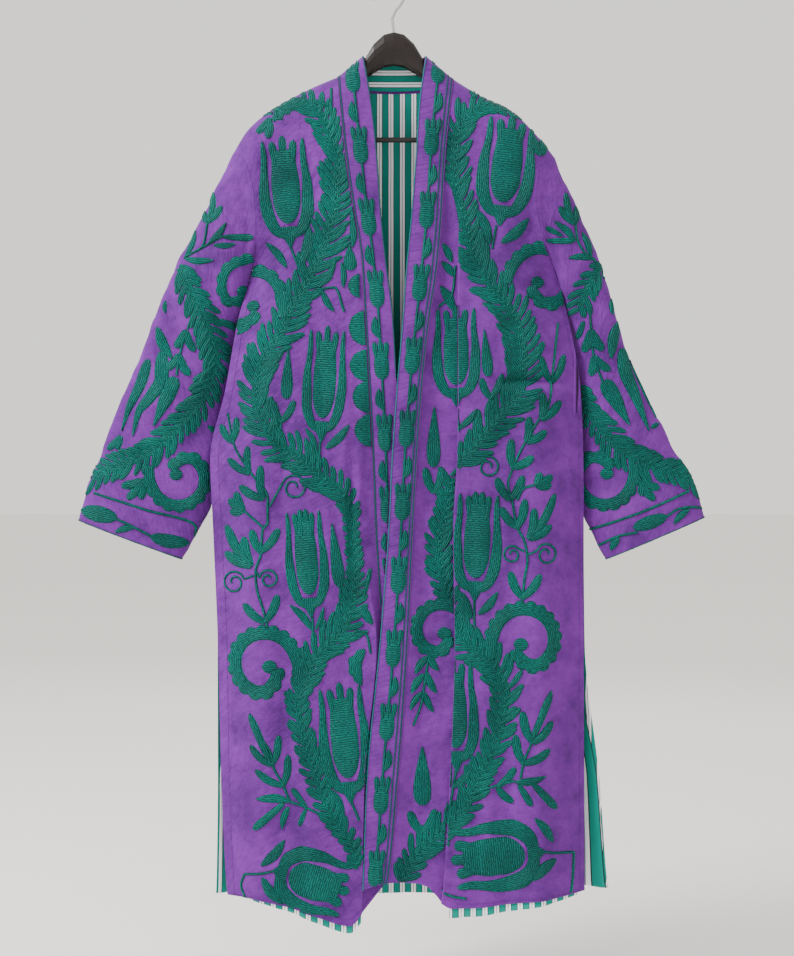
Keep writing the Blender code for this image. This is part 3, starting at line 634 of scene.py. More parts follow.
def shoulder_row(shoulder, shares):
    x = blend(shoulder["x"][0], shoulder["x"][-1], shares)
    return np.stack((x, 0 * x, table_value(shoulder["x"], shoulder["drop"], x)), axis=1)


def back_grid():
    """Outer points of the back: its top row follows the shoulders and the neck band's edge."""
    neck = neck_row("outer", NECK_PLACES)
    neck[:, 2] += 2 * SEAM_GAP
    mirrored = neck * (-1, 1, 1)
    left_shoulder = shoulder_row(SHOULDER_LEFT, np.linspace(0, 1 - NECK_MARGIN, SHOULDER_POINTS))
    right_shoulder = shoulder_row(SHOULDER_RIGHT, np.linspace(NECK_MARGIN, 1, SHOULDER_POINTS))
    top = np.concatenate((left_shoulder, mirrored, neck[-2::-1], right_shoulder))
    level = LEVELS[:, None]
    value = {name: at_level(BACK, name, level) for name in BACK}
    share = (top[:, 0] - top[0, 0]) / (top[-1, 0] - top[0, 0])
    x = blend(value["left_x"], value["right_x"], share)
    fade = np.clip(1 - level / NECK_FADE_LEVEL, 0, 1) ** 2
    drop = blend(value["left_drop"], value["right_drop"], share)
    drop = drop - fade * (blend(top[0, 2], top[-1, 2], share) - top[:, 2])
    drop = blend(drop, table_value(HEM_BACK["x"], HEM_BACK["drop"], x), at_hem(level))
    distance = np.minimum(x - value["left_x"], value["right_x"] - x)
    y = back_y(distance, drop - top[:, 2], level, x, top[:, 1] * fade)
    y = y + SLIT_FLARE * np.clip(level - SLIT_LEVEL, 0, 2) / 2 * (1 - side_rounding(distance))
    grid = np.stack((x, y, drop), axis=2)
    free = fading(drop - drop[:1], FADE_BELOW_TOP) * fading(distance, FADE_AT_EDGE)
    grid[:, :, 1] += free * (crease_depth(BACK_CREASES, x, drop) + unevenness(grid, BACK_LUMPS))
    return grid


def back_directions(grid):
    directions = inward_directions(grid, False, np.array((0, -1, 0)))
    directions[0, grid[0, :, 1] < 1] = (0, 0, 1)
    directions[UNDERARM_ROW:, 0] = (0, -1, 0)
    directions[UNDERARM_ROW:, -1] = (0, -1, 0)
    return directions


back = back_grid()
panel = wall("panel_back", back, back + back_directions(back) * CLOTH, cloth_lengths(back),
             (PURPLE, STRIPED))
hang(panel, ["back"])

# The sleeves
# Straight sleeves of the same cotton, each folded round and closed by one seam under the arm, set
# into deep armholes. They hang flat beside the body, with slanting creases below the shoulder.
FIRST_PLACE = 0.6
SECTION_POWER = 0.42
SLEEVE_BOTH = {
    "under_drop": (423, 455, 480, 512, 612, 688, 745, 786, 819.4),
    "depth":      (22, 23, 23, 22, 21, 20, 19, 18, 17),
    "centre_y":   (0, 2, 4, 6, 7, 6, 5, 3, 2),
    "under_y":    (0, 6, 12, 15, 15, 14, 12, 6, 2),
}
SLEEVE_LEFT = {
    "outer_x":    (-223.9, -248.6, -269.4, -297.2, -338.9, -380.6, -405, -428.5, -438.2),
    "outer_drop": (256.9, 305.6, 351.4, 397.2, 501.4, 598.6, 662, 726.4, 765.3),
    "under_x":    (-198.7, -207, -213.5, -220, -234, -248, -255.5, -276, -294.4),
    **SLEEVE_BOTH,
}
SLEEVE_RIGHT = {
    "outer_x":    (223.4, 244.4, 272.2, 289.6, 320.8, 367.5, 393, 415.3, 431.3),
    "outer_drop": (262, 312.5, 372.2, 413.9, 523.6, 626.4, 672, 708.3, 761.1),
    "under_x":    (225.7, 234, 240.5, 248.5, 257.5, 258, 260.5, 276, 294.4),
    **SLEEVE_BOTH,
}
SLEEVE_CREASES = (
    (-218, 272, -198, 356, 6, 6),
    (-199, 330, -203, 432, 6, 7),
    (213, 274, 203, 356, 6, 5),
    (203, 334, 230, 432, 6, 7),
    (-228, 330, -196, 420, 9, 1.8),
    (-248, 360, -206, 480, 9, -2.0),
    (-262, 420, -222, 560, 10, 1.9),
    (-300, 450, -236, 610, 9, -1.6),
    (-360, 640, -318, 640, 5, 2.4),
    (-340, 560, -262, 660, 8, 1.6),
    (-400, 700, -300, 760, 9, 1.6),
    (236, 330, 226, 420, 8, 1.8),
    (262, 380, 240, 500, 9, -1.9),
    (290, 450, 256, 600, 10, 1.8),
    (330, 560, 262, 660, 9, -1.6),
    (360, 640, 276, 730, 8, 1.6),
    (400, 690, 320, 790, 9, 1.4),
)
SLEEVE_LUMPS = ((40, 2.8, 0), (16, 1.4, 9))
SLEEVE_ROWS = 116
ARMHOLE_FADE = 12
CUFF_FADE = 14


def sleeve_grid(table, front, back_panel, side, seed):
    """Rings of a sleeve: the first lies along the armhole, the last is the cuff."""
    half = UNDERARM_ROW
    gap = np.array((side * SEAM_GAP, 0, 0))
    back_edge = back_panel[:, 0 if side < 0 else -1]
    first = np.concatenate((front[:half, 0] + gap,
                            [(table["under_x"][0], 0, table["under_drop"][0])],
                            back_edge[half - 1:0:-1] + gap))
    first[0, 1] = 0
    turned = np.array([step if step <= half else 2 * half - step for step in range(2 * half)])
    front_side = np.where(np.arange(2 * half) <= half, -1, 1)
    edge_shares = (first[:half + 1, 2] - first[0, 2]) / (first[half, 2] - first[0, 2])
    even = (1 - np.cos(math.pi * turned / half)) / 2
    places = range(len(table["depth"]))
    rings = []
    for place in np.linspace(0, places[-1], SLEEVE_ROWS):
        at = max(place, FIRST_PLACE)
        value = {name: table_value(places, column, at) for name, column in table.items()}
        share = blend(edge_shares[turned], even, min(at / 3, 1))
        swell = np.clip(4 * share * (1 - share), 0, 1) ** SECTION_POWER
        ring = np.stack((blend(value["outer_x"], value["under_x"], share),
                         blend(value["centre_y"], value["under_y"], share**2)
                         + front_side * value["depth"] * swell,
                         blend(value["outer_drop"], value["under_drop"], share)), axis=1)
        rings.append(blend(first, ring, min(place / FIRST_PLACE, 1)))
    grid = np.array(rings)
    along = np.linspace(0, 1, SLEEVE_ROWS)[:, None]
    free = np.clip(along * ARMHOLE_FADE, 0, 1) * np.clip((1 - along) * CUFF_FADE, 0, 1)
    creases = crease_depth(SLEEVE_CREASES, grid[:, :, 0], grid[:, :, 2])
    depth = free * (creases + unevenness(grid, SLEEVE_LUMPS, seed))
    return grid + sleeve_directions(grid, front, back_panel, side) * depth[:, :, None]


def sleeve_directions(rings, front, back_panel, side):
    """Into the sleeve; along the armhole the same way as the panels' own edges."""
    centre = rings.mean(axis=1, keepdims=True)
    directions = inward_directions(rings, True, centre - rings)
    half = UNDERARM_ROW
    back_edge = back_directions(back_panel)[:, 0 if side < 0 else -1]
    directions[0] = np.concatenate((front_directions(front)[:half, 0], [(0, 0, -1)],
                                    back_edge[half - 1:0:-1]))
    return directions


sleeves = {}
for name, table, front, side, seed in (("sleeve_left", SLEEVE_LEFT, front_left, -1, 21.0),
                                       ("sleeve_right", SLEEVE_RIGHT, front_right, 1, 27.0)):
    rings = sleeve_grid(table, front, back, side, seed)
    sleeves[name] = rings
    inside = rings + sleeve_directions(rings, front, back, side) * CLOTH
    lengths = cloth_lengths(np.concatenate((rings, rings[:, :1]), axis=1))
    tube = wall("tube_" + name, rings, inside, lengths, (PURPLE, STRIPED), closed=True)
    hang(tube, [name])

# The front band
# A doubled strip of the cotton, about 40 mm wide, sewn along the neck and both front edges and
# joined behind the neck. It is stitched close to its edges, which puckers it.
BAND_CLOTH = 2.0
BAND_CROWN = 1.2
NECK_CROWN = 0.8
OVERLAP_LIFT = 1.0
BAND_LEFT = {
    "inner_x":    (-43.1, -31, -23, -19, -11, -2, 4, 8.5, 12, 21, 24, 27),
    "inner_drop": (120.8, 192, 268, 330, 410, 480, 585, 681, 782, 935, 1107, 1254),
}
BAND_RIGHT = {
    "inner_x":    (44.4, 35, 30, 24.5, 16.5, 12, 4, -2.6, -7.5, -19.5, -37, -42.5),
    "inner_drop": (120.8, 192, 268, 340, 425, 490, 585, 681, 782, 935, 1117, 1268),
}
BAND_SHARES = np.linspace(0, 1, 13)


def across_band(free, edge, crown):
    """Rows of points from the band's free edge to its sewn edge, raised by the crown between."""
    shares = BAND_SHARES[None, :, None]
    return blend(free[:, None], edge[:, None], shares) + 4 * shares * (1 - shares) * crown[:, None]


def band_grid(inner, front, side, bow):
    """Outer points of one half of the band, from the centre of the back neck to the hem."""
    sewn = front[:, -1]
    level = LEVELS
    drop = at_level(inner, "inner_drop", level)
    depth = at_level(BODY, "front_depth", level) + CLOTH
    y = -SIDE_SEAM_GAP - rounding(drop - drop[0], RIDGE) * depth
    y = y + np.where(level > ARMHOLE_LEVEL, np.clip(sewn[:, 1] + depth, 0, None), 0)
    y = y - bow * np.sin(level / HEM_LEVEL * math.pi)
    free = np.stack((at_level(inner, "inner_x", level), y, drop), axis=1)
    across = free - sewn
    edge = sewn + across / np.linalg.norm(across, axis=1, keepdims=True) * SEAM_GAP
    crown = np.stack((0 * level, -BAND_CROWN * np.clip(level, 0, 1), 0 * level), axis=1)
    turned = NECK_PLACES[::-1]
    behind = across_band(neck_row("inner", turned) * (side, 1, 1), neck_row("outer", turned) * (side, 1, 1),
                         np.tile((0, NECK_CROWN, 0), (len(turned), 1)))
    return np.concatenate((behind, across_band(free, edge, crown)))


bands = {}
for name, table, front, side, bow in (("band_left", BAND_LEFT, front_left, -1, 0),
                                      ("band_right", BAND_RIGHT, front_right, 1, OVERLAP_LIFT)):
    grid = band_grid(table, front, side, bow)
    directions = inward_directions(grid, False, np.array((0, 0, 1)))
    directions[-len(LEVELS):, -1] = front_directions(front)[:, -1]
    bands[name] = (grid, directions)
    strip = wall("strip_" + name, grid, grid + directions * BAND_CLOTH, cloth_lengths(grid),
                 (PUCKERED, PUCKERED))
    hang(strip, [name])

# The striped lining
# Thin striped cotton, seen behind the neck, below the hems and in the side slits. Its stripes run
# down the body, and across on the narrow facing behind the neck.
LINING = 1.0
FACING_REACH = 0.92
SLIT_REACH = 0.8
SLIT_CLEARANCE = 0.5
SIDE_STRIPES = 60.0
STRIPES_LEFT = 244
STRIPES_RIGHT = 264
BORDER_ROWS = 24
BORDER_LEFT = {"x": (-230, -150, -55, -40), "below": (1, 6, 10.5, 10.5)}
BORDER_RIGHT = {"x": (64, 79, 172, 264), "below": (12, 13, 9, 3)}


def back_lining(outer, directions):
    """Grid of the back's lining: inside the side seams, but out to the edges beside the slits."""
    grid = outer + directions * (CLOTH + SEAM_GAP)
    reach = SLIT_REACH * np.clip(LEVELS - SLIT_LEVEL, 0, 1)
    grid[:, (0, 1, -2, -1), 1] -= SLIT_CLEARANCE * reach[:, None]
    lining = grid[:, 2:-2].copy()
    lining[:, 0] = blend(grid[:, 2], grid[:, 0], reach[:, None])
    lining[:, 1] = blend(grid[:, 3], grid[:, 1], reach[:, None])
    lining[:, -1] = blend(grid[:, -3], grid[:, -1], reach[:, None])
    lining[:, -2] = blend(grid[:, -4], grid[:, -2], reach[:, None])
    return lining


def back_stripes(grid):
    """Stripes hang straight in the middle of the back and follow its edges beside the slits."""
    straight = grid[:, :, 0]
    beside_left = straight - grid[:, :1, 0] - STRIPES_LEFT
    beside_right = straight - grid[:, -1:, 0] + STRIPES_RIGHT
    left = np.clip((grid[:, :1, 0] + SIDE_STRIPES - straight) / SIDE_STRIPES, 0, 1)
    right = np.clip((straight - grid[:, -1:, 0] + SIDE_STRIPES) / SIDE_STRIPES, 0, 1)
    x = blend(blend(straight, beside_left, left), beside_right, right)
    return np.stack((x, grid[:, :, 2]), axis=2) * MM


def front_lining(outer, directions, border, main_columns):
    """The lowest part of a front's lining, which hangs below the hem as a striped border."""
    grid = (outer + directions * (CLOTH + SEAM_GAP))[-BORDER_ROWS:, 2:main_columns]
    slope = (grid[-1] - grid[-2]) / (grid[-1] - grid[-2])[:, 2:]
    below = table_value(border["x"], border["below"], grid[-1, :, 0])
    low = [grid[-1] + slope * below[:, None] * share for share in (0.5, 1)]
    return np.concatenate((grid, low))


directions = back_directions(back)
lining = back_lining(back, directions)
inside = lining + directions[:, 2:-2] * LINING
sheet = wall("striped_back", lining, inside, back_stripes(lining), (STRIPED, STRIPED))
hang(sheet, ["lining_back"])

for name, grid, border in (("front_left", front_left, BORDER_LEFT),
                           ("front_right", front_right, BORDER_RIGHT)):
    directions = front_directions(grid)
    columns = MAIN_COLUMNS[name]
    strip = front_lining(grid, directions, border, columns)
    reach = directions[-BORDER_ROWS:, 2:columns]
    reach = np.concatenate((reach, reach[-1:], reach[-1:]))
    stripes = np.stack((strip[:, :, 0], strip[:, :, 2]), axis=2) * MM
    sheet = wall("striped_" + name, strip, strip + reach * LINING, stripes, (STRIPED, STRIPED))
    hang(sheet, ["lining_" + name])

for name, (grid, directions) in bands.items():
    rows = len(NECK_PLACES)
    facing = (grid + directions * (BAND_CLOTH + SEAM_GAP))[:rows - 1].copy()
    shares = (BAND_SHARES * FACING_REACH)[None, :, None]
    facing = blend(facing[:, :1], facing[:, -1:], shares)
    stripes = np.stack((facing[:, :, 2], facing[:, :, 0]), axis=2) * MM
    label = name.replace("band", "neck_facing")
    piece = wall("striped_" + label, facing, facing + directions[:rows - 1] * LINING, stripes,
                 (STRIPED, STRIPED))
    hang(piece, [label])

# The embroidery
# Thick green cotton thread in close rows of chain stitch: feathered vines, tulips, scalloped curls
# and sprigs. The tulips' bodies and the half moons are filled across, which shows as ribs.
PHOTO_SCALE = 0.72
PHOTO_STEM = 394
PHOTO_TOP = -31
THREAD_HEIGHT = 1.8
SUNK_EDGE = -0.35
STROKE_STEP = 2.7
CURL_STEP = 1.6
LOBE_DEPTH = 0.62
LOWEST, HEIGHT_SPREAD = 0.88, 0.24
VINE_ANGLES = (34, 50)
VINE_LENGTHS = (0.86, 1.16)
VINE_WIDTHS = (0.9, 1.1)
VINE_STALK = 0.22
CHAIN, RIBS = 0, 1
random = np.random.default_rng(7)

# Widths along a stroke, from its foot to its tip, as shares of the stroke's width.
FINGER = {"share": (0, 0.1, 0.4, 0.75, 0.93, 1), "width": (0.4, 0.66, 0.92, 1, 0.76, 0.3)}
LEAFLET = {"share": (0, 0.1, 0.38, 0.66, 0.88, 1), "width": (0.5, 0.7, 0.96, 1, 0.8, 0.36)}
LEAF = {"share": (0, 0.12, 0.45, 0.75, 1), "width": (0.2, 0.62, 1, 0.78, 0.16)}
BUD = {"share": (0, 0.08, 0.25, 0.5, 0.8, 1), "width": (0.4, 0.84, 1, 0.82, 0.42, 0.12)}
LINE = {"share": (0, 1), "width": (1, 1)}
BALL = {"share": (0, 0.06, 0.2, 0.5, 0.8, 0.94, 1), "width": (0.2, 0.48, 0.8, 1, 0.8, 0.48, 0.2)}
TULIP_BODY = {"share": (0, 0.05, 0.14, 0.3, 0.55, 0.8, 1),
              "width": (0.22, 0.56, 0.84, 1.04, 1.06, 0.94, 0.86)}
PETAL = {"share": (0, 0.15, 0.3, 0.5, 0.72, 0.93, 1), "width": (0.9, 1.3, 1.46, 1.26, 0.84, 0.6, 0.25)}
CUP = {"share": (0, 0.35, 0.7, 1), "width": (0.14, 0.5, 0.9, 1)}
CURL = {"share": (0, 0.15, 0.3, 0.5, 0.78, 0.9, 1), "radius": (1.2, 1.03, 1, 0.95, 0.9, 0.64, 0.42)}


def smooth_path(points, step):
    """Evenly spaced places on a smooth line through a few, each with its share of the length."""
    points = np.asarray(points, float)
    lengths = np.concatenate(([0], np.linalg.norm(np.diff(points, axis=0), axis=1).cumsum()))
    shares = np.linspace(0, 1, max(int(lengths[-1] / step), 4) + 1)
    line = [table_value(lengths, points[:, axis], shares * lengths[-1]) for axis in (0, 1)]
    return np.stack(line, axis=1), shares


def stroke(design, points, width, shape=LINE, fill=CHAIN, lobes=0, height=1.0, step=STROKE_STEP):
    """Adds a stroke along places in the photo's pixels. Its lobes scallop one of its edges."""
    places = (np.asarray(points, float) - (PHOTO_STEM, PHOTO_TOP)) / PHOTO_SCALE
    line, shares = smooth_path(places, step)
    half = table_value(shape["share"], shape["width"], shares) * width / PHOTO_SCALE / 2
    left, right = half.copy(), half.copy()
    if lobes:
        waves = np.abs(np.sin(shares * math.pi * abs(lobes))) ** 0.7 * half * LOBE_DEPTH
        left, right = (left + waves, right) if lobes > 0 else (left, right + waves)
    design.append((line, left, right, fill, height * (LOWEST + HEIGHT_SPREAD * random.random())))


def finger(design, foot, tip, width, shape=FINGER, bend=0.0, height=1.0):
    """One leaf or finger between two places, bowed sideways by a share of its length."""
    foot, tip = np.asarray(foot, float), np.asarray(tip, float)
    run = tip - foot
    middle = (foot + tip) / 2 + bend * np.array((-run[1], run[0]))
    stroke(design, (foot, middle, tip), width, shape, height=height)


def fan(design, foot, width, *tips):
    """Two or three fingers from one foot: a pair of leaves, a trident or the head of a flower."""
    for tip in tips:
        side = 1 if tip[0] > foot[0] else -1
        finger(design, foot, tip, 1.25 * width, LEAFLET, 0.07 * side)


def vine(design, table, growth, spacing=8.2, leaflet=7.4):
    """A feathered vine: close, overlapping leaflets on both sides, pointing the way it grows."""
    places = np.stack((table["x"], table["y"]), axis=1)
    line, shares = smooth_path(places, spacing)
    lengths = np.concatenate(([0], np.linalg.norm(np.diff(places, axis=0), axis=1).cumsum()))
    widths = table_value(lengths / lengths[-1], table["width"], shares)
    ways = np.gradient(line, axis=0) * growth
    ways /= np.linalg.norm(ways, axis=1, keepdims=True)
    for centre, way, width in zip(line, ways, widths):
        for side in (-1, 1):
            angle = math.radians(random.uniform(*VINE_ANGLES)) * side
            turned = np.array((way[0] * math.cos(angle) - way[1] * math.sin(angle),
                               way[0] * math.sin(angle) + way[1] * math.cos(angle)))
            length = width / 2 / math.sin(abs(angle)) * random.uniform(*VINE_LENGTHS)
            start = centre + way * spacing * (0.25 * side)
            finger(design, start, start + turned * length, leaflet * random.uniform(*VINE_WIDTHS),
                   LEAFLET, 0.05 * side, 0.8)
    stroke(design, places, VINE_STALK * (min(table["width"]) + max(table["width"])), height=0.55)


def tulip(design, foot, tip, width, teeth=3, petals=(1, 1)):
    """A tulip: a ribbed body with teeth at its mouth, and two petals that join in a cup below."""
    foot, tip = np.asarray(foot, float), np.asarray(tip, float)
    up = tip - foot
    across = np.array((-up[1], up[0])) / np.linalg.norm(up) * width

    def at(side, along):
        return foot + across * side + up * along

    stroke(design, (at(0, 0.21), at(0, 0.55), at(0, 0.87)), 0.51 * width, TULIP_BODY, RIBS, height=1.1)
    for tooth in np.linspace(-1, 1, teeth):
        reach = 1 - 0.05 * abs(tooth)
        finger(design, at(0.15 * tooth, 0.74), at(0.2 * tooth, reach), 0.16 * width)
    for side, petal in zip((-1, 1), petals):
        if petal:
            stroke(design, (at(0.04 * side, 0.1), at(0.22 * side, 0.15), at(0.37 * side, 0.33),
                            at(0.395 * side, 0.55), at(0.36 * side, 0.8), at(0.37 * side, 0.96)),
                   0.17 * width * petal, PETAL)
    stroke(design, (at(0, 0), at(0, 0.09), at(0, 0.18)), 0.4 * width, CUP)


def arc(centre, radius, start, sweep, radii, count=28):
    """Places round a curl, by angles in degrees from the right, turning clockwise as seen."""
    shares = np.linspace(0, 1, count)
    angles = np.radians(start + sweep * shares)
    reach = radius * table_value(radii["share"], radii["radius"], shares)
    return np.stack((centre[0] + reach * np.cos(angles), centre[1] + reach * np.sin(angles)), axis=1)


def curl(design, centre, radius, start, sweep, width, lobes=16, ball=7.0):
    """A thick scalloped curl that ends in a ball."""
    places = arc(centre, radius, start, sweep, CURL)
    stroke(design, places, width, {"share": (0, 0.1, 0.9, 1), "width": (0.8, 1, 1, 0.9)},
           lobes=-lobes if sweep < 0 else lobes, step=1.5)
    end = places[-1] + (np.asarray(centre) - places[-1]) * 0.5
    stroke(design, (end - (ball, 0), end, end + (ball, 0)), 2 * ball, BALL, height=1.15, step=CURL_STEP)


def spiral(design, start_place, centre, radius, start, sweep):
    """A thin spiral at the end of a short stem."""
    places = arc(centre, radius, start, sweep, {"share": (0, 0.5, 1), "radius": (1, 0.8, 0.2)})
    stroke(design, np.concatenate(([start_place], places)), 2.6, height=0.8, step=CURL_STEP)


def half_moon(design, left, right, top, foot):
    """A half disc with its flat side to the right, filled with ribs."""
    line = ((right, top), (right, (top + foot) / 2), (right, foot))
    stroke(design, line, 2 * (right - left), BALL, RIBS, step=1.8)
    places, left_half, right_half, fill, height = design.pop()
    design.append((places, 0.0 * left_half, right_half, fill, height))


def stem(design, *places):
    stroke(design, places, 3.0, height=0.85)


def leaf(design, foot, tip, width, bend=0.06):
    finger(design, foot, tip, width, LEAF, bend)


def bud(design, foot, tip, width):
    finger(design, foot, tip, width, BUD)


# Motifs are placed by the photo's pixels, 0.72 to a millimetre, their feet before their tips.
VINE_LEFT_TOP = {"x": (332, 324, 312, 297, 275), "y": (144, 123, 110, 103, 115),
                 "width": (26, 30, 30, 26, 16)}
VINE_LEFT = {
    "x":     (332, 340, 337, 336, 329, 324, 311, 304, 292, 283, 269, 261, 258, 268, 279, 300, 319, 343, 352,
              354, 356, 353, 343, 329, 312, 304, 299),
    "y":     (144, 165, 184, 211, 231, 251, 277, 293, 310, 333, 354, 374, 400, 427, 445, 457, 474, 494, 515,
              543, 571, 599, 627, 641, 662, 683, 696),
    "width": (26, 33, 33, 31, 33, 35, 37, 36, 36, 37, 37, 35, 35, 35, 36, 35, 34, 29, 19,
              15, 17, 23, 31, 34, 32, 28, 24),
}
VINE_LEFT_LOW = {"x": (299, 301, 306, 313, 321, 330, 342, 354, 358),
                 "y": (696, 712, 735, 757, 780, 802, 822, 840, 859),
                 "width": (24, 24, 24, 24, 24, 24, 22, 20, 16)}
FRONT_LEFT_DESIGN = (
    (vine, VINE_LEFT_TOP, 1), (vine, VINE_LEFT, -1), (vine, VINE_LEFT_LOW, -1),
    (tulip, (292, 250), (283, 140), 54), (tulip, (322, 443), (329, 328), 44),
    (tulip, (313, 615), (304, 507), 43, 4), (tulip, (352, 797), (340, 679), 52),
    (tulip, (276, 862), (350, 884), 66),
    (stem, (292, 250), (300, 270)), (stem, (321, 443), (320, 468)), (stem, (314, 615), (315, 640)),
    (stem, (352, 795), (360, 814)), (stem, (247, 868), (264, 866), (279, 862)),
    (fan, (270, 122), 8, (258, 136), (269, 142)), (stem, (270, 122), (284, 123)),
    (leaf, (314, 103), (329, 110), 6), (stem, (332, 92), (332, 128)),
    (leaf, (288, 270), (267, 245), 9), (leaf, (303, 266), (311, 230), 13),
    (bud, (351, 273), (350, 248), 15), (leaf, (353, 250), (352, 210), 10),
    (leaf, (320, 290), (337, 263), 8), (leaf, (323, 293), (335, 314), 8), (leaf, (344, 290), (342, 265), 7),
    (stem, (317, 292), (335, 290), (345, 314)),
    (curl, (251, 302), 30, 30, -330, 11, 13, 6.5), (leaf, (252, 327), (238, 335), 8),
    (half_moon, 348, 360, 277, 300), (half_moon, 348, 366, 313, 347), (half_moon, 349, 369, 351, 383),
    (half_moon, 352, 370, 382, 414), (half_moon, 354, 371, 415, 447),
    (bud, (288, 400), (290, 352), 13), (fan, (283, 423), 7, (275, 402), (296, 402)),
    (stem, (283, 423), (281, 440)),
    (leaf, (318, 451), (307, 429), 7), (leaf, (327, 449), (350, 426), 10),
    (stem, (229, 414), (236, 445), (254, 474), (270, 498), (270, 522), (265, 529), (263, 554), (258, 570),
     (259, 584), (266, 609), (270, 626)),
    (fan, (234, 443), 7, (222, 425), (238, 418)), (fan, (252, 474), 7, (230, 459), (250, 447)),
    (fan, (266, 499), 8, (242, 486), (263, 466)), (fan, (263, 551), 8, (254, 529), (281, 528)),
    (fan, (254, 565), 9, (228, 525), (246, 536), (227, 552)), (fan, (267, 620), 8, (246, 602), (280, 593)),
    (fan, (246, 510), 8, (231, 499), (238, 492), (232, 511)), (stem, (246, 510), (266, 527)),
    (spiral, (272, 506), (296, 487), 12, 200, 520), (spiral, (256, 574), (236, 581), 11, -20, -540),
    (spiral, (259, 570), (271, 577), 9, 190, 500),
    (leaf, (314, 627), (292, 603), 9), (leaf, (317, 627), (325, 605), 6),
    (bud, (341, 585), (333, 523), 14), (stem, (341, 585), (343, 607)),
    (curl, (266, 661), 30, 24, -364, 12.5, 18, 7),
    (finger, (364, 597), (371, 567), 6), (leaf, (364, 604), (373, 622), 10),
    (stroke, ((365, 646), (357, 663), (362, 682)), 12, LEAF, CHAIN, -4),
    (stem, (350, 634), (359, 628), (368, 634), (371, 650)),
    (leaf, (345, 807), (327, 781), 10), (stem, (292, 795), (306, 800), (320, 806)),
    (leaf, (292, 795), (259, 793), 10), (finger, (286, 797), (256, 823), 9),
    (leaf, (291, 800), (284, 822), 8), (finger, (309, 802), (294, 782), 7),
    (finger, (308, 802), (301, 819), 6),
    (finger, (273, 757), (252, 711), 9),
    (stem, (292, 795), (285, 778), (276, 762), (273, 747), (259, 727), (252, 710)),
    (fan, (285, 780), 7, (258, 765), (290, 750)), (fan, (274, 760), 7, (253, 741), (281, 731)),
    (leaf, (264, 858), (287, 833), 11), (leaf, (265, 870), (284, 895), 11),
    (stem, (247, 868), (243, 880), (247, 892)),
)

VINE_RIGHT = {
    "x":     (512, 490, 471, 457, 454, 456, 464, 469, 477, 490, 503, 517, 521, 519, 505, 487, 470, 455),
    "y":     (110, 108, 116, 135, 168, 196, 224, 245, 266, 287, 304, 332, 360, 388, 409, 430, 451, 466),
    "width": (18, 24, 26, 30, 32, 32, 32, 32, 34, 34, 36, 36, 36, 36, 36, 34, 32, 30),
}
VINE_RIGHT_LOW = {"x": (450, 465, 485, 497, 503, 501, 496, 485, 471, 462, 448, 436, 426),
                  "y": (608, 640, 655, 672, 690, 704, 727, 755, 782, 803, 818, 837, 860),
                  "width": (36, 38, 36, 34, 32, 30, 28, 28, 28, 28, 26, 24, 20)}
FRONT_RIGHT_DESIGN = (
    (vine, VINE_RIGHT, -1), (vine, VINE_RIGHT_LOW, -1),
    (tulip, (498, 229), (512, 119), 58), (tulip, (456, 407), (455, 307), 48),
    (tulip, (473, 599), (478, 490), 50, 4), (tulip, (456, 766), (451, 655), 48),
    (tulip, (541, 844), (450, 853), 72),
    (stem, (495, 229), (491, 252)), (stem, (473, 599), (473, 624)), (stem, (455, 765), (449, 800)),
    (stem, (541, 844), (554, 847), (572, 849), (571, 870), (569, 888)), (stem, (456, 407), (458, 432)),
    (leaf, (474, 101), (473, 84), 13), (fan, (540, 158), 9, (531, 138), (543, 133)),
    (leaf, (489, 247), (475, 212), 11), (leaf, (500, 246), (527, 222), 12),
    (curl, (541, 280), 29, 170, 330, 11, 14, 6.5), (leaf, (532, 306), (564, 297), 12),
    (leaf, (456, 430), (446, 409), 7), (leaf, (457, 430), (476, 410), 8),
    (bud, (487, 378), (483, 332), 12), (fan, (489, 400), 7, (480, 380), (501, 376)),
    (stem, (489, 400), (491, 414)),
    (stem, (557, 324), (550, 382), (547, 405), (537, 420), (523, 443), (511, 468), (506, 484), (510, 500),
     (515, 526), (522, 540), (525, 559), (522, 578), (520, 600)),
    (fan, (550, 384), 7, (539, 358), (563, 356)), (fan, (539, 421), 8, (540, 394), (559, 402)),
    (fan, (524, 443), 8, (527, 418), (544, 432)), (fan, (511, 468), 8, (510, 440), (531, 457)),
    (fan, (508, 500), 8, (495, 478), (521, 476)), (fan, (515, 527), 8, (499, 507), (523, 499)),
    (fan, (526, 538), 8, (532, 508), (553, 494), (549, 525)), (fan, (520, 596), 8, (508, 570), (538, 573)),
    (fan, (533, 485), 8, (538, 473), (550, 476), (549, 485)), (stem, (532, 485), (522, 488), (515, 500)),
    (spiral, (480, 453), (487, 467), 10, -100, 480), (spiral, (522, 550), (510, 553), 8.5, -40, -500),
    (spiral, (525, 553), (544, 553), 10.5, 200, 520),
    (leaf, (470, 616), (452, 586), 12), (leaf, (477, 612), (496, 590), 10),
    (curl, (523, 637), 30, 150, 345, 12.5, 18, 7),
    (leaf, (449, 781), (440, 741), 8), (leaf, (451, 782), (471, 762), 9),
    (stem, (478, 784), (485, 782), (513, 775)), (leaf, (513, 776), (543, 771), 9),
    (fan, (495, 781), 7, (513, 762), (511, 796)), (finger, (516, 778), (529, 799), 8),
    (finger, (529, 776), (554, 803), 9), (finger, (529, 735), (549, 690), 9),
    (stem, (518, 772), (521, 757), (529, 737), (541, 700), (549, 688)),
    (fan, (521, 758), 8, (513, 730), (547, 745)), (fan, (530, 738), 8, (520, 707), (550, 718)),
    (leaf, (550, 835), (532, 811), 10), (leaf, (553, 853), (531, 872), 13),
    (stem, (437, 863), (440, 882), (452, 888), (465, 890)),
)

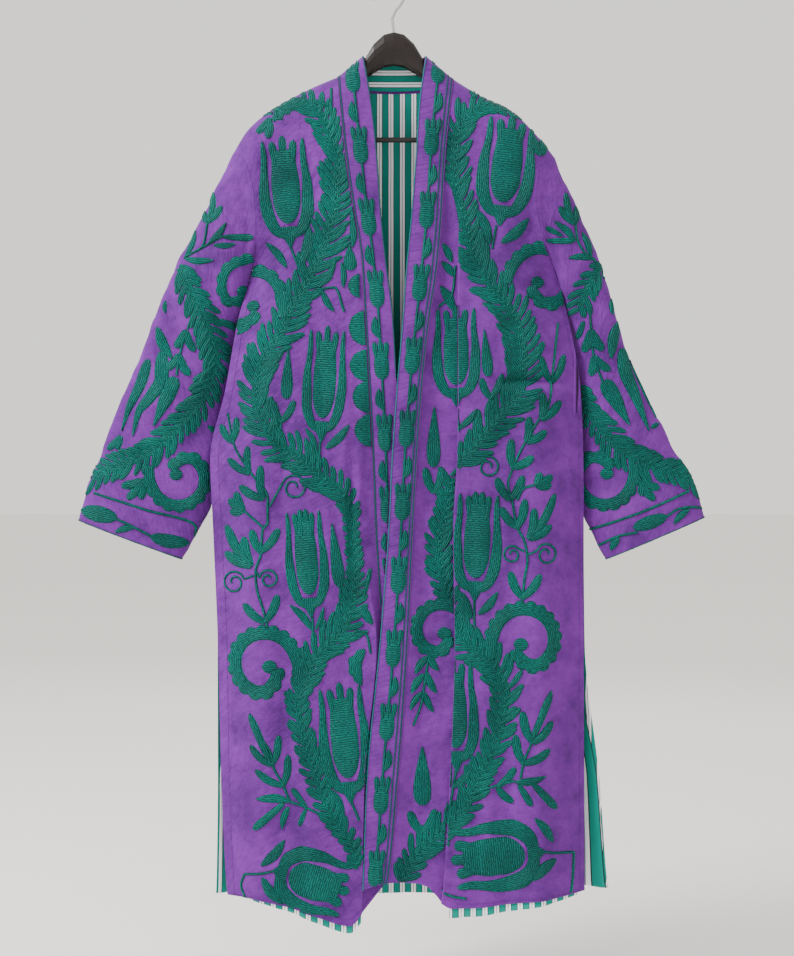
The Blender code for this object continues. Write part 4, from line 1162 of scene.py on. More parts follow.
SLEEVE_LEFT_VINE = {"x": (181, 190, 203, 211, 216, 210, 203, 190, 177, 158, 139, 113, 94),
                    "y": (268, 290, 315, 340, 361, 379, 398, 414, 430, 447, 458, 468, 477),
                    "width": (24, 28, 30, 30, 29, 28, 28, 28, 28, 28, 27, 26, 22)}
SLEEVE_LEFT_DESIGN = (
    (vine, SLEEVE_LEFT_VINE, 1),
    (fan, (209, 224), 7, (213, 193), (223, 208), (203, 212)), (stem, (209, 224), (204, 247), (187, 257)),
    (stem, (185, 258), (213, 244), (225, 238)), (finger, (225, 239), (255, 240), 8),
    (leaf, (210, 245), (228, 225), 8), (leaf, (215, 247), (237, 246), 7), (leaf, (185, 259), (215, 262), 8),
    (leaf, (186, 257), (196, 231), 8), (curl, (246, 288), 24, -75, -180, 9, 7, 7),
    (finger, (219, 321), (238, 328), 9),
    (stem, (194, 314), (189, 330)), (fan, (187, 331), 8, (176, 348), (196, 352)),
    (stem, (187, 331), (181, 355)),
    (fan, (180, 355), 8, (168, 370), (191, 376)), (stem, (180, 355), (178, 376)),
    (leaf, (158, 328), (173, 359), 12), (leaf, (166, 301), (166, 314), 6),
    (stroke, ((149, 360), (141, 385), (129, 410), (123, 431)), 13, BUD),
    (stroke, ((163, 352), (163, 378), (152, 397), (140, 412), (134, 436)), 16, BUD),
    (bud, (177, 378), (155, 426), 17), (fan, (122, 436), 7, (108, 449), (117, 449)),
    (finger, (208, 426), (216, 432), 6),
    (curl, (180, 479), 26, 205, -330, 11, 14, 6.5),
    (stem, (155, 472), (150, 475), (143, 480)), (fan, (143, 480), 8, (123, 486), (129, 499), (142, 499)),
    (stem, (95, 493), (145, 509), (196, 528), (194, 542)), (stem, (134, 544), (158, 551), (184, 560)),
    (stroke, ((119, 518), (101, 514), (82, 510)), 18, BALL, CHAIN),
    (stem, (119, 519), (136, 527), (154, 537)), (leaf, (136, 527), (117, 532), 8),
    (stroke, ((189, 543), (171, 541), (152, 536)), 15, BALL, CHAIN),
)
SLEEVE_RIGHT_VINE_TOP = {"x": (602, 593, 585, 579), "y": (265, 277, 293, 308), "width": (20, 24, 24, 18)}
SLEEVE_RIGHT_VINE = {"x": (580, 588, 600, 613, 632, 658, 681, 695),
                     "y": (388, 409, 426, 443, 457, 468, 475, 483),
                     "width": (20, 24, 28, 29, 28, 27, 26, 22)}
SLEEVE_RIGHT_DESIGN = (
    (vine, SLEEVE_RIGHT_VINE_TOP, 1), (vine, SLEEVE_RIGHT_VINE, 1),
    (fan, (573, 226), 7, (565, 195), (558, 209), (576, 207)),
    (stem, (574, 226), (576, 241), (585, 256), (600, 265)),
    (leaf, (574, 243), (553, 224), 8), (finger, (545, 243), (573, 243), 7),
    (finger, (561, 238), (544, 230), 6),
    (leaf, (590, 258), (581, 234), 9), (leaf, (594, 260), (567, 260), 8),
    (finger, (583, 322), (577, 339), 7),
    (stem, (589, 312), (590, 330), (593, 356), (602, 384)),
    (fan, (590, 331), 9, (583, 352), (602, 351)), (fan, (593, 357), 8, (590, 376), (609, 371)),
    (leaf, (612, 299), (612, 315), 7), (leaf, (619, 322), (610, 359), 13),
    (stroke, ((622, 349), (624, 368), (634, 395), (648, 431)), 16, BUD),
    (stroke, ((631, 360), (641, 385), (656, 418)), 5, BUD), (bud, (603, 381), (628, 425), 18),
    (finger, (650, 428), (658, 424), 6),
    (curl, (603, 478), 26, -25, 330, 11, 14, 6.5), (stem, (630, 466), (635, 472), (640, 481)),
    (fan, (640, 481), 8, (640, 496), (658, 488), (653, 500)),
    (stem, (589, 530), (640, 512), (688, 491)), (stem, (705, 518), (655, 540), (606, 560)),
    (stroke, ((665, 516), (649, 522), (632, 528)), 15, BALL, CHAIN),
    (stem, (664, 517), (677, 509), (690, 507), (703, 508)),
    (leaf, (688, 509), (672, 524), 8), (stem, (636, 532), (617, 536), (599, 545)),
    (leaf, (618, 537), (610, 550), 9),
)


# Points across a stroke, by its width in millimetres.
STROKE_COLUMNS = ((14, 5), (26, 7), (math.inf, 11))
BACK_POWER = 5
LARGEST_STEP = 8 * MM
IN_FRONT = 500


def strips(design):
    """Places, heights, texture places and faces of all strokes, as flat strips with rounded backs."""
    places, heights, rises, lengths, faces, kinds = [], [], [], [], [], []
    count = 0
    for line, left, right, fill, height in design:
        widest = (left + right).max()
        columns = next(many for limit, many in STROKE_COLUMNS if widest < limit)
        across = np.linspace(-1, 1, columns)[None, :]
        way = np.gradient(line, axis=0)
        way /= np.linalg.norm(way, axis=1, keepdims=True)
        beside = np.stack((-way[:, 1], way[:, 0]), axis=1)
        offset = np.where(across < 0, left[:, None], right[:, None]) * across
        back = height * THREAD_HEIGHT * (1 - np.abs(across) ** BACK_POWER) * np.ones(len(line))[:, None]
        back[:, (0, -1)] = SUNK_EDGE
        back[(0, -1)] = SUNK_EDGE
        # 1 on a stroke's raised middle and 0 at its sunk edges: the mask for the painted shade along its
        # edges
        rises.append((back > 0).astype(float).ravel())
        along = np.concatenate(([0], np.linalg.norm(np.diff(line, axis=0), axis=1).cumsum()))
        places.append((line[:, None] + beside[:, None] * offset[:, :, None]).reshape(-1, 2))
        heights.append(back.ravel())
        lengths.append(np.stack((offset, along[:, None] + 0 * offset), axis=2).reshape(-1, 2))
        index = count + np.arange(len(line) * columns).reshape(len(line), columns)
        quads = np.stack((index[:-1, :-1], index[:-1, 1:], index[1:, 1:], index[1:, :-1]), axis=-1)
        faces.append(quads.reshape(-1, 4))
        kinds.append(np.full(len(faces[-1]), fill))
        count += index.size
    return [np.concatenate(parts) for parts in (places, heights, rises, lengths, faces, kinds)]


def tree_of(grid, closed=False):
    """A tree for finding where a line meets the outer face of a cloth piece."""
    if closed:
        grid = np.concatenate((grid, grid[:, :1]), axis=1)
    index = np.arange(grid.shape[0] * grid.shape[1]).reshape(grid.shape[:2])
    quads = np.stack((index[:-1, :-1], index[:-1, 1:], index[1:, 1:], index[1:, :-1]), axis=-1)
    return BVHTree.FromPolygons(to_world(grid).reshape(-1, 3).tolist(), quads.reshape(-1, 4).tolist())


def sew_on(name, designs, tree, finishes):
    """Lays designs on a cloth piece, each from the front or from the back, and joins them."""
    points, rises, lengths, faces, kinds = [], [], [], [], []
    count = 0
    for design, side, limits in designs:
        places, heights, edge_shade_mask, along, quads, fills = strips(design)
        low, high, top = limits(places[:, 0], places[:, 1])
        beyond = (places[:, 0] < low) | (places[:, 0] > high) | (places[:, 1] < top)
        places = np.stack((np.clip(places[:, 0], low, high), np.maximum(places[:, 1], top)), axis=1)
        start = to_world(np.stack((places[:, 0], 0 * heights + side * IN_FRONT, places[:, 1]), axis=1))
        way = Vector((0, -side, 0))
        found = np.full((len(start), 3), np.nan)
        raised = np.full((len(start), 3), np.nan)
        for row, (place, height) in enumerate(zip(start, heights)):
            hit, normal = tree.ray_cast(Vector(place), way)[:2]
            if hit:
                if normal.y * side < 0:
                    normal = -normal
                found[row] = hit
                raised[row] = hit + normal * height * MM
        corners = found[quads]
        spread = np.ptp(corners[:, :, 1], axis=1)
        keep = np.isfinite(spread) & (spread < LARGEST_STEP) & ~beyond[quads].all(axis=1)
        quads, fills = quads[keep], fills[keep]
        if side > 0:
            quads = quads[:, ::-1]
        points.append(raised)
        rises.append(edge_shade_mask)
        lengths.append(along * MM)
        faces.append(quads + count)
        kinds.append(fills)
        count += len(raised)
    points, lengths = np.concatenate(points), np.concatenate(lengths)
    used, faces_flat = np.unique(np.concatenate(faces), return_inverse=True)
    faces = faces_flat.reshape(-1, 4)
    mesh = bpy.data.meshes.new(name)
    mesh.from_pydata(points[used].tolist(), [], faces.tolist())
    # The mask by which the thread's finish paints shade along each stroke's edges
    mesh.attributes.new("edge_shade_mask", "FLOAT", "POINT").data.foreach_set("value", np.concatenate(rises)[used])
    mesh.uv_layers.new(name="thread").data.foreach_set("uv", lengths[used][faces].ravel())
    mesh.polygons.foreach_set("material_index", np.concatenate(kinds))
    for finish in finishes:
        mesh.materials.append(finish)
    mesh.shade_smooth()
    made = bpy.data.objects.new(name, mesh)
    bpy.context.scene.collection.objects.link(made)
    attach(made, "root")


def green_thread(name, row_axis, row_spacing, fibre_sizes):
    """Thick soft cotton: rows of stitches along the stroke, or ribs across it, with a low sheen. The
    rows are coarser than the real thread's, so that they show. Painted shade darkens the grooves
    between the rows and the sunk edges of each stroke."""
    made, tree, shader = new_material(name)
    place = node(tree, "ShaderNodeTexCoord")
    parts = node(tree, "ShaderNodeSeparateXYZ", [("Vector", place.outputs["UV"])])
    drift = node(tree, "ShaderNodeTexNoise", [("Vector", place.outputs["Object"])],
                 [("Scale", per_metre(7.6923)), ("Detail", 2)])
    shifted = node(tree, "ShaderNodeMath", [(0, drift.outputs["Fac"]), (2, parts.outputs[row_axis])],
                   [(1, row_spacing * 1.1)], operation="MULTIPLY_ADD")
    turns = node(tree, "ShaderNodeMath", [(0, shifted.outputs[0])], [(1, math.pi / row_spacing)],
                 operation="MULTIPLY")
    wave = node(tree, "ShaderNodeMath", [(0, turns.outputs[0])], operation="SINE")
    rows = node(tree, "ShaderNodeMath", [(0, wave.outputs[0])], operation="ABSOLUTE")
    strands = node(tree, "ShaderNodeMapping", [("Vector", place.outputs["UV"])],
                   [("Scale", (per_metre(fibre_sizes[0]), per_metre(fibre_sizes[1]), 1))])
    fibres = node(tree, "ShaderNodeTexNoise", [("Vector", strands.outputs["Vector"])],
                  [("Scale", 1), ("Detail", 3), ("Roughness", 0.6)])
    fade = node(tree, "ShaderNodeTexNoise", [("Vector", place.outputs["Object"])],
                [("Scale", per_metre(62.5)), ("Detail", 2)])
    worn = node(tree, "ShaderNodeMapRange", [("Value", fade.outputs["Fac"])],
                [("From Min", 0.2), ("From Max", 0.8)])
    tone = node(tree, "ShaderNodeMix", [("Factor", worn.outputs[0])],
                [("A", linear("#004340")), ("B", linear("#00645a"))], data_type="RGBA")
    # Painted shade in the grooves between the rows, a little lighter on their tops
    groove_shade = node(tree, "ShaderNodeMapRange", [("Value", rows.outputs[0])],
                   [("From Min", 0), ("From Max", 0.6), ("To Min", 0.32), ("To Max", 1.05)])
    edge_shade_mask = node(tree, "ShaderNodeAttribute", attribute_name="edge_shade_mask")
    # Painted shade: the thread's colour darkens towards each stroke's sunk edges
    edges = node(tree, "ShaderNodeMapRange", [("Value", edge_shade_mask.outputs["Fac"])],
                 [("From Min", 0), ("From Max", 0.6), ("To Min", 0.35), ("To Max", 1)])
    bright = node(tree, "ShaderNodeMapRange", [("Value", fibres.outputs["Fac"])],
                  [("From Min", 0.36), ("From Max", 0.64), ("To Min", 0.54), ("To Max", 1.46)])
    colour = tone
    for shade in (groove_shade, edges, bright):
        colour = node(tree, "ShaderNodeMix", [("A", colour.outputs["Result"]), ("B", shade.outputs[0])],
                      [("Factor", 1)], data_type="RGBA", blend_type="MULTIPLY")
    coarse = node(tree, "ShaderNodeBump", [("Height", rows.outputs[0])],
                  [("Strength", 1), ("Distance", 1.1 * MM)])
    fine = node(tree, "ShaderNodeBump",
                [("Height", fibres.outputs["Fac"]), ("Normal", coarse.outputs["Normal"])],
                [("Strength", 0.8), ("Distance", 0.6 * MM)])
    set_up(tree, shader, [("Base Color", colour.outputs["Result"]), ("Normal", fine.outputs["Normal"])],
           [("Roughness", 0.6), ("Specular IOR Level", 0.12)])
    return made


THREADS = (green_thread("green_chain_stitch", "X", 2.6 * MM, (1.6129, 4.3478)),
           green_thread("green_ribbed_filling", "Y", 3.0 * MM, (3.8462, 1.4286)))
EDGE = 1.2
FOLD_EDGE = 0.3
FOLD_START = 300
FOLD_RISE = 60


def front_limits(front, shoulder, side):
    """Between the side seam and the band's seam, or the knife fold where the front has one."""
    def limits(x, drop):
        seam = table_value(front["side_drop"], front["side_x"], drop)
        top = table_value(shoulder["x"], shoulder["drop"], x) + EDGE
        if side < 0:
            band = table_value(front["band_drop"], front["band_x"], drop)
            return seam + EDGE, np.minimum(band, right_edge(drop)) - EDGE, top
        fold = table_value(front["band_drop"], front["fold_x"], drop)
        band = table_value(front["band_drop"], front["band_x"], drop)
        folded = fading(drop - FOLD_START, FOLD_RISE) ** 0.5
        return blend(band, fold, folded) + EDGE, seam - EDGE, top
    return limits


def recess_limits(x, drop):
    """The strip of the right front between its band and its knife fold."""
    band = table_value(FRONT_RIGHT["band_drop"], FRONT_RIGHT["band_x"], drop)
    fold = table_value(FRONT_RIGHT["band_drop"], FRONT_RIGHT["fold_x"], drop)
    return band + EDGE, fold - FOLD_EDGE, 0 * x + FOLD_START


def right_edge(drop):
    """The free edge of the right band, which lies over the left half of the robe."""
    return table_value(BAND_RIGHT["inner_drop"], BAND_RIGHT["inner_x"], drop)


def band_limits(inner, front, side):
    def limits(x, drop):
        free = table_value(inner["inner_drop"], inner["inner_x"], drop)
        sewn = table_value(front["band_drop"], front["band_x"], drop)
        if side < 0:
            return sewn + 2 * EDGE, np.minimum(free, right_edge(drop)) - 2 * EDGE, 0 * x
        return free + 2 * EDGE, sewn - 2 * EDGE, 0 * x
    return limits


def back_limits(x, drop):
    low = table_value(BACK["left_drop"], BACK["left_x"], drop)
    high = table_value(BACK["right_drop"], BACK["right_x"], drop)
    shoulder = np.where(x < 0, table_value(SHOULDER_LEFT["x"], SHOULDER_LEFT["drop"], x),
                        table_value(SHOULDER_RIGHT["x"], SHOULDER_RIGHT["drop"], x))
    neck = table_value(NECK_BAND["outer_x"][::-1], NECK_BAND["outer_drop"][::-1], np.abs(x))
    top = np.where(np.abs(x) < NECK_BAND["outer_x"][0], neck, shoulder)
    return low + EDGE, high - EDGE, top + 2 * EDGE


def sleeve_limits(sleeve, front, side):
    def limits(x, drop):
        outer = table_value(sleeve["outer_drop"], sleeve["outer_x"], drop)
        inner = np.where(drop < sleeve["under_drop"][0],
                         table_value(front["side_drop"], front["side_x"], drop),
                         table_value(sleeve["under_drop"], sleeve["under_x"], drop))
        if side < 0:
            return outer + EDGE, inner - EDGE, 0 * x
        return inner + EDGE, outer - EDGE, 0 * x
    return limits


def design_of(rows):
    """The strokes of a table whose rows are a motif and its places in the photo's pixels."""
    design = []
    for motif, *values in rows:
        motif(design, *values)
    return design


def mirrored(design, about):
    """The same design turned over about a line down the cloth."""
    over = []
    for line, left, right, fill, height in design:
        over.append((np.stack((2 * about - line[:, 0], line[:, 1]), axis=1), right, left, fill, height))
    return over


def band_design(inner, front, first_foot, pitch, count, side):
    """Small tulips one above the other along a band, with leaves on the stem between them."""
    design = []

    def middle(y):
        drop = (y - PHOTO_TOP) / PHOTO_SCALE
        free = table_value(inner["inner_drop"], inner["inner_x"], drop)
        sewn = table_value(front["band_drop"], front["band_x"], drop)
        return np.array((PHOTO_STEM + PHOTO_SCALE * (free + sewn) / 2, y))

    for foot in first_foot + pitch * np.arange(count):
        body = (middle(foot), middle(foot - 12), middle(foot - 28))
        stroke(design, body, 15, TULIP_BODY, RIBS)
        for tooth in (-1, 0, 1):
            finger(design, middle(foot - 22) + (5 * tooth, 0),
                   middle(foot - 38) + (6 * tooth, abs(tooth)), 6)
        stem(design, middle(foot - 2), middle(foot + 14), middle(foot + 38))
        leaf(design, middle(foot + 30), middle(foot + 9) + (4 * side, 0), 9.5, 0.1 * side)
    return design


BACK_TULIPS = (110, 262, 414, 566, 718)
BACK_MIDDLE = 403
BACK_MIRROR = 12.5


def back_design():
    """The back repeats the fronts' design on both sides of a column of tulips."""
    half = design_of(FRONT_LEFT_DESIGN)
    middle = []
    for top in BACK_TULIPS:
        tulip(middle, (BACK_MIDDLE, top + 100), (BACK_MIDDLE, top), 44)
        stem(middle, (BACK_MIDDLE, top + 100), (BACK_MIDDLE, top + 142))
        leaves = [(BACK_MIDDLE + aside, top + 114) for aside in (-15, 15)]
        fan(middle, (BACK_MIDDLE, top + 136), 8, *leaves)
    return half + mirrored(half, BACK_MIRROR) + middle


def neck_design(side):
    """A small lying tulip on each half of the band, behind the neck."""
    def at(reach, edge_shade_mask):
        return PHOTO_STEM + reach * side, NECK_TULIP + edge_shade_mask

    design = []
    stroke(design, (at(8, 0), at(34, 0)), 14, TULIP_BODY, RIBS)
    for tooth in (-1, 0, 1):
        finger(design, at(28, 4 * tooth), at(42, 5 * tooth), 5)
    return design


def no_limits(x, drop):
    return x - 1, x + 1, 0 * x


NECK_TULIP = 76
RIGHT_STRIP_VINE = {"x": (450, 446, 438, 442, 450), "y": (478, 510, 545, 575, 602),
                    "width": (22, 26, 28, 28, 26)}
RIGHT_FOOT_VINE = {"x": (402, 414, 430, 446), "y": (874, 852, 835, 820), "width": (26, 32, 32, 28)}
RECESS_DESIGN = (
    (leaf, (453, 312), (440, 288), 11), (tulip, (456, 407), (455, 307), 48),
    (bud, (433, 467), (434, 408), 15), (fan, (434, 493), 8, (425, 468), (442, 468)),
    (vine, RIGHT_STRIP_VINE, -1), (curl, (440, 628), 24, -20, -300, 11, 13, 7),
    (leaf, (427, 654), (415, 671), 9), (leaf, (428, 652), (438, 668), 9), (leaf, (424, 671), (411, 690), 9),
    (leaf, (426, 669), (436, 690), 9), (leaf, (422, 689), (410, 706), 8), (leaf, (424, 689), (433, 709), 8),
    (stem, (429, 650), (425, 675), (421, 700), (413, 722)),
    (leaf, (451, 264), (442, 246), 9), (leaf, (453, 278), (441, 264), 9),
    (stem, (455, 268), (452, 295), (438, 309)),
    (bud, (422, 800), (422, 743), 19), (fan, (422, 828), 8, (409, 806), (435, 804)),
    (vine, RIGHT_FOOT_VINE, 1),
)

front_right_tree = tree_of(front_right)
left_limits = front_limits(FRONT_LEFT, SHOULDER_LEFT, -1)
right_limits = front_limits(FRONT_RIGHT, SHOULDER_RIGHT, 1)
sew_on("embroidery_front_left", [(design_of(FRONT_LEFT_DESIGN), -1, left_limits)],
       tree_of(front_left), THREADS)
sew_on("embroidery_front_right", [(design_of(FRONT_RIGHT_DESIGN), -1, right_limits),
                                  (design_of(RECESS_DESIGN), -1, recess_limits)], front_right_tree, THREADS)
sew_on("embroidery_back", [(back_design(), 1, back_limits)], tree_of(back), THREADS)
for name, inner, front, side, first_foot, pitch, count in (
        ("band_left", BAND_LEFT, FRONT_LEFT, -1, 97, 71, 11),
        ("band_right", BAND_RIGHT, FRONT_RIGHT, 1, 88, 72, 12)):
    design = band_design(inner, front, first_foot, pitch, count, side)
    sew_on("embroidery_" + name,
           [(design, -1, band_limits(inner, front, side)), (neck_design(side), 1, no_limits)],
           tree_of(bands[name][0]), THREADS)
for side_name, rows, table, front, side in (
        ("left", SLEEVE_LEFT_DESIGN, SLEEVE_LEFT, FRONT_LEFT, -1),
        ("right", SLEEVE_RIGHT_DESIGN, SLEEVE_RIGHT, FRONT_RIGHT, 1)):
    design = design_of(rows)
    limits = sleeve_limits(table, front, side)
    sew_on("embroidery_sleeve_" + side_name, [(design, -1, limits), (design, 1, limits)],
           tree_of(sleeves["sleeve_" + side_name], closed=True), THREADS)

# The sewing
# Rows of teal chain stitch edge the band and the cuffs, and a thicker, lighter cord lies along the
# right band's free edge. Purple thread sews the seams and hems. The pocket mouth is a slit with two
# rounded lips in the right side seam.
STITCH_LIFT = 0.35
STITCH_SEED = 3


def stitch_tree():
    """Sets a stitch at even steps along each line, lying along it and flat on the cloth."""
    tree = bpy.data.node_groups.new("stitch_rows", "GeometryNodeTree")
    sockets = tree.interface
    sockets.new_socket("Lines", in_out="INPUT", socket_type="NodeSocketGeometry")
    for name in ("Spacing", "Length", "Width", "Height"):
        sockets.new_socket(name, in_out="INPUT", socket_type="NodeSocketFloat")
    sockets.new_socket("Seed", in_out="INPUT", socket_type="NodeSocketInt")
    sockets.new_socket("Thread", in_out="INPUT", socket_type="NodeSocketMaterial")
    sockets.new_socket("Stitches", in_out="OUTPUT", socket_type="NodeSocketGeometry")
    given = node(tree, "NodeGroupInput")
    curves = node(tree, "GeometryNodeMeshToCurve", [("Mesh", given.outputs["Lines"])])
    even = node(tree, "GeometryNodeResampleCurve",
                [("Curve", curves.outputs["Curve"]), ("Length", given.outputs["Spacing"])], mode="LENGTH")
    tangent = node(tree, "GeometryNodeInputTangent")
    outward = node(tree, "GeometryNodeInputNamedAttribute", settings=[("Name", "outward")],
                   data_type="FLOAT_VECTOR")
    lying = node(tree, "FunctionNodeAlignRotationToVector", [("Vector", tangent.outputs["Tangent"])],
                 axis="X")
    flat = node(tree, "FunctionNodeAlignRotationToVector",
                [("Rotation", lying.outputs["Rotation"]), ("Vector", outward.outputs["Attribute"])],
                axis="Z", pivot_axis="X")
    size = node(tree, "FunctionNodeRandomValue", [("Seed", given.outputs["Seed"])],
                [(2, 0.86), (3, 1.1)], data_type="FLOAT")
    ball = node(tree, "GeometryNodeMeshUVSphere", settings=[("Segments", 6), ("Rings", 4), ("Radius", 0.5)])
    scale = node(tree, "ShaderNodeCombineXYZ",
                 [(axis, given.outputs[size]) for axis, size in zip("XYZ", ("Length", "Width", "Height"))])
    stitch = node(tree, "GeometryNodeTransform",
                  [("Geometry", ball.outputs["Mesh"]), ("Scale", scale.outputs["Vector"])])
    placed = node(tree, "GeometryNodeInstanceOnPoints",
                  [("Points", even.outputs["Curve"]), ("Instance", stitch.outputs["Geometry"]),
                   ("Rotation", flat.outputs["Rotation"]), ("Scale", size.outputs[1])])
    real = node(tree, "GeometryNodeRealizeInstances", [("Geometry", placed.outputs["Instances"])])
    finished = node(tree, "GeometryNodeSetMaterial",
                    [("Geometry", real.outputs["Geometry"]), ("Material", given.outputs["Thread"])])
    node(tree, "NodeGroupOutput", [("Stitches", finished.outputs["Geometry"])])
    return tree


STITCH_TREE = stitch_tree()


def sew(name, rows, thread_and_slot, sizes):
    """Rows of stitches along lines given as places and outward directions, in millimetres."""
    thread, slot = thread_and_slot
    places = np.concatenate([places for places, outward in rows])
    outward = np.concatenate([outward for places, outward in rows]) * (1, 1, -1)
    starts = np.cumsum([0] + [len(places) for places, outward in rows])
    edges = [(at, at + 1) for start, end in zip(starts, starts[1:]) for at in range(start, end - 1)]
    lines = bpy.data.meshes.new(name + "_lines")
    lines.from_pydata(to_world(places).tolist(), edges, [])
    lines.attributes.new("outward", "FLOAT_VECTOR", "POINT").data.foreach_set("vector", outward.ravel())
    made = bpy.data.objects.new(name, lines)
    bpy.context.scene.collection.objects.link(made)
    modifier = made.modifiers.new("stitches", "NODES")
    modifier.node_group = STITCH_TREE
    sockets = {item.name: item.identifier for item in STITCH_TREE.interface.items_tree}
    for label, size in zip(("Spacing", "Length", "Width", "Height"), sizes):
        modifier[sockets[label]] = size * MM
    modifier[sockets["Seed"]] = STITCH_SEED
    modifier[sockets["Thread"]] = thread
    evaluated = made.evaluated_get(bpy.context.evaluated_depsgraph_get())
    plain = bpy.data.meshes.new_from_object(evaluated)
    made.modifiers.remove(modifier)
    made.data = plain
    plain.shade_smooth()
    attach(made, "root")


def sewing_thread(name, dark, light):
    """Twisted cotton thread: a soft low sheen and a fine uneven colour."""
    made, tree, shader = new_material(name)
    place = node(tree, "ShaderNodeTexCoord")
    twist = node(tree, "ShaderNodeTexNoise", [("Vector", place.outputs["Object"])],
                 [("Scale", per_metre(0.71429)), ("Detail", 2)])
    tone = node(tree, "ShaderNodeMix", [("Factor", twist.outputs["Fac"])],
                [("A", linear(dark)), ("B", linear(light))], data_type="RGBA")
    bump = node(tree, "ShaderNodeBump", [("Height", twist.outputs["Fac"])],
                [("Strength", 0.4), ("Distance", 0.2 * MM)])
    set_up(tree, shader, [("Base Color", tone.outputs["Result"]), ("Normal", bump.outputs["Normal"])],
           [("Roughness", 0.7), ("Specular IOR Level", 0.25)])
    return made


def row_down(grid, directions, share, keep=None):
    """A line down a cloth piece at a share of its width."""
    place = share * (grid.shape[1] - 1)
    column = min(int(place), grid.shape[1] - 2)
    places = blend(grid[:, column], grid[:, column + 1], place - column)
    outward = -directions[:, column]
    places = places + outward * STITCH_LIFT
    keep = slice(None) if keep is None else keep(places)
    return places[keep], outward[keep]


def row_across(grid, directions, row, margin=1):
    places, outward = grid[row, margin:-margin], -directions[row, margin:-margin]
    return places + outward * STITCH_LIFT, outward


def not_covered(places):
    """Where the right band doesn't lie over the left half."""
    return places[:, 0] < right_edge(places[:, 2]) - 2


TEAL = (sewing_thread("teal_thread", "#002c32", "#004c52"), "green_embroidery")
TEAL_CORD = (sewing_thread("teal_cord", "#094a54", "#1f7680"), "green_embroidery")
PURPLE_THREAD = (sewing_thread("purple_thread", "#3e1656", "#5c2876"), "purple_cotton")

# Spacing, length, width and height of the stitches in each kind of row.
LEFT_EDGE = (2.6, 3.6, 2.4, 1.1)
RIGHT_EDGE = (2.6, 3.6, 2.5, 1.1)
CUFF_EDGE = (2.6, 3.6, 2.0, 1.0)
CORD_TURNS = (2.6, 3.4, 2.0, 1.4)
BAND_SEAM = (2.6, 5.0, 1.8, 1.2)
NECK_SEAM = (2.0, 4.2, 2.6, 1.4)
UNDERARM_SEAM = (2.0, 4.2, 3.6, 2.0)
HEM_STITCH = (3.4, 2.6, 0.8, 0.6)
FREE_SHARE = 0.012
MIDDLE_SHARE = 0.83
SEWN_SHARE = 0.95

left_grid, left_ways = bands["band_left"]
right_grid, right_ways = bands["band_right"]
left_rows = [row_down(left_grid, left_ways, share, not_covered) for share in (FREE_SHARE, SEWN_SHARE)]
right_rows = [row_down(right_grid, right_ways, share) for share in (MIDDLE_SHARE, SEWN_SHARE)]
sew("stitches_band_left", left_rows, TEAL, LEFT_EDGE)
sew("stitches_band_right", right_rows, TEAL, RIGHT_EDGE)
sew("cord_band_right", [row_down(right_grid, right_ways, FREE_SHARE)], TEAL_CORD, CORD_TURNS)

neck_seams = []
for grid, ways in bands.values():
    rows = len(NECK_PLACES) + 2
    neck_seams.append((grid[:rows, -1] - ways[:rows, -1] * STITCH_LIFT, -ways[:rows, -1]))
neck_seams.append((left_grid[0] - left_ways[0] * STITCH_LIFT, -left_ways[0]))
sew("seam_band_left", [row_down(left_grid, left_ways, 1, not_covered)], PURPLE_THREAD, BAND_SEAM)
sew("seam_band_right", [row_down(right_grid, right_ways, 1)], PURPLE_THREAD, BAND_SEAM)
sew("seam_neck", neck_seams, PURPLE_THREAD, NECK_SEAM)

UNDERARM_DROPS = (-2, 50)
UNDERARM_POINTS = 12
for side_name, sleeve, front in (("left", SLEEVE_LEFT, FRONT_LEFT), ("right", SLEEVE_RIGHT, FRONT_RIGHT)):
    first, last = [sleeve["under_drop"][0] + further for further in UNDERARM_DROPS]
    drop = np.linspace(first, last, UNDERARM_POINTS)
    under = table_value(sleeve["under_drop"], sleeve["under_x"], drop)
    side_x = table_value(front["side_drop"], front["side_x"], drop)
    places = np.stack(((under + side_x) / 2, 0 * drop, drop), axis=1)
    outward = np.tile((0.0, -1.0, 0.0), (UNDERARM_POINTS, 1))
    sew("seam_underarm_" + side_name, [(places, outward)], PURPLE_THREAD, UNDERARM_SEAM)

HEM_ROW = -3
slit = slice(UNDERARM_ROW + 3, -2)
for side_name, grid, columns, share in (("left", front_left, None, 0.05),
                                        ("right", front_right, MAIN_COLUMNS["front_right"], 0.04)):
    ways = front_directions(grid)[:, :columns]
    grid = grid[:, :columns]
    rows = [row_across(grid, ways, HEM_ROW, 2), row_down(grid[slit], ways[slit], share)]
    sew("stitches_front_" + side_name, rows, PURPLE_THREAD, HEM_STITCH)
sew("stitches_back", [row_across(back, back_directions(back), HEM_ROW, 2)], PURPLE_THREAD, HEM_STITCH)
for side_name, front, side in (("left", front_left, -1), ("right", front_right, 1)):
    rings = sleeves["sleeve_" + side_name]
    ways = sleeve_directions(rings, front, back, side)
    ring, outward = [np.concatenate((part, part[:1])) for part in (rings[-1], -ways[-1])]
    sew("stitches_cuff_" + side_name, [(ring + outward * STITCH_LIFT, outward)], TEAL, CUFF_EDGE)

# Two rounded lips of cloth with a dark strip between them, as strokes on the right front. The
# strip is painted shadow in the pocket's mouth, plain and matt as the thread is.
POCKET_SHADOW = sewing_thread("painted_pocket_shadow", "#140a1c", "#22102c")
pocket = []
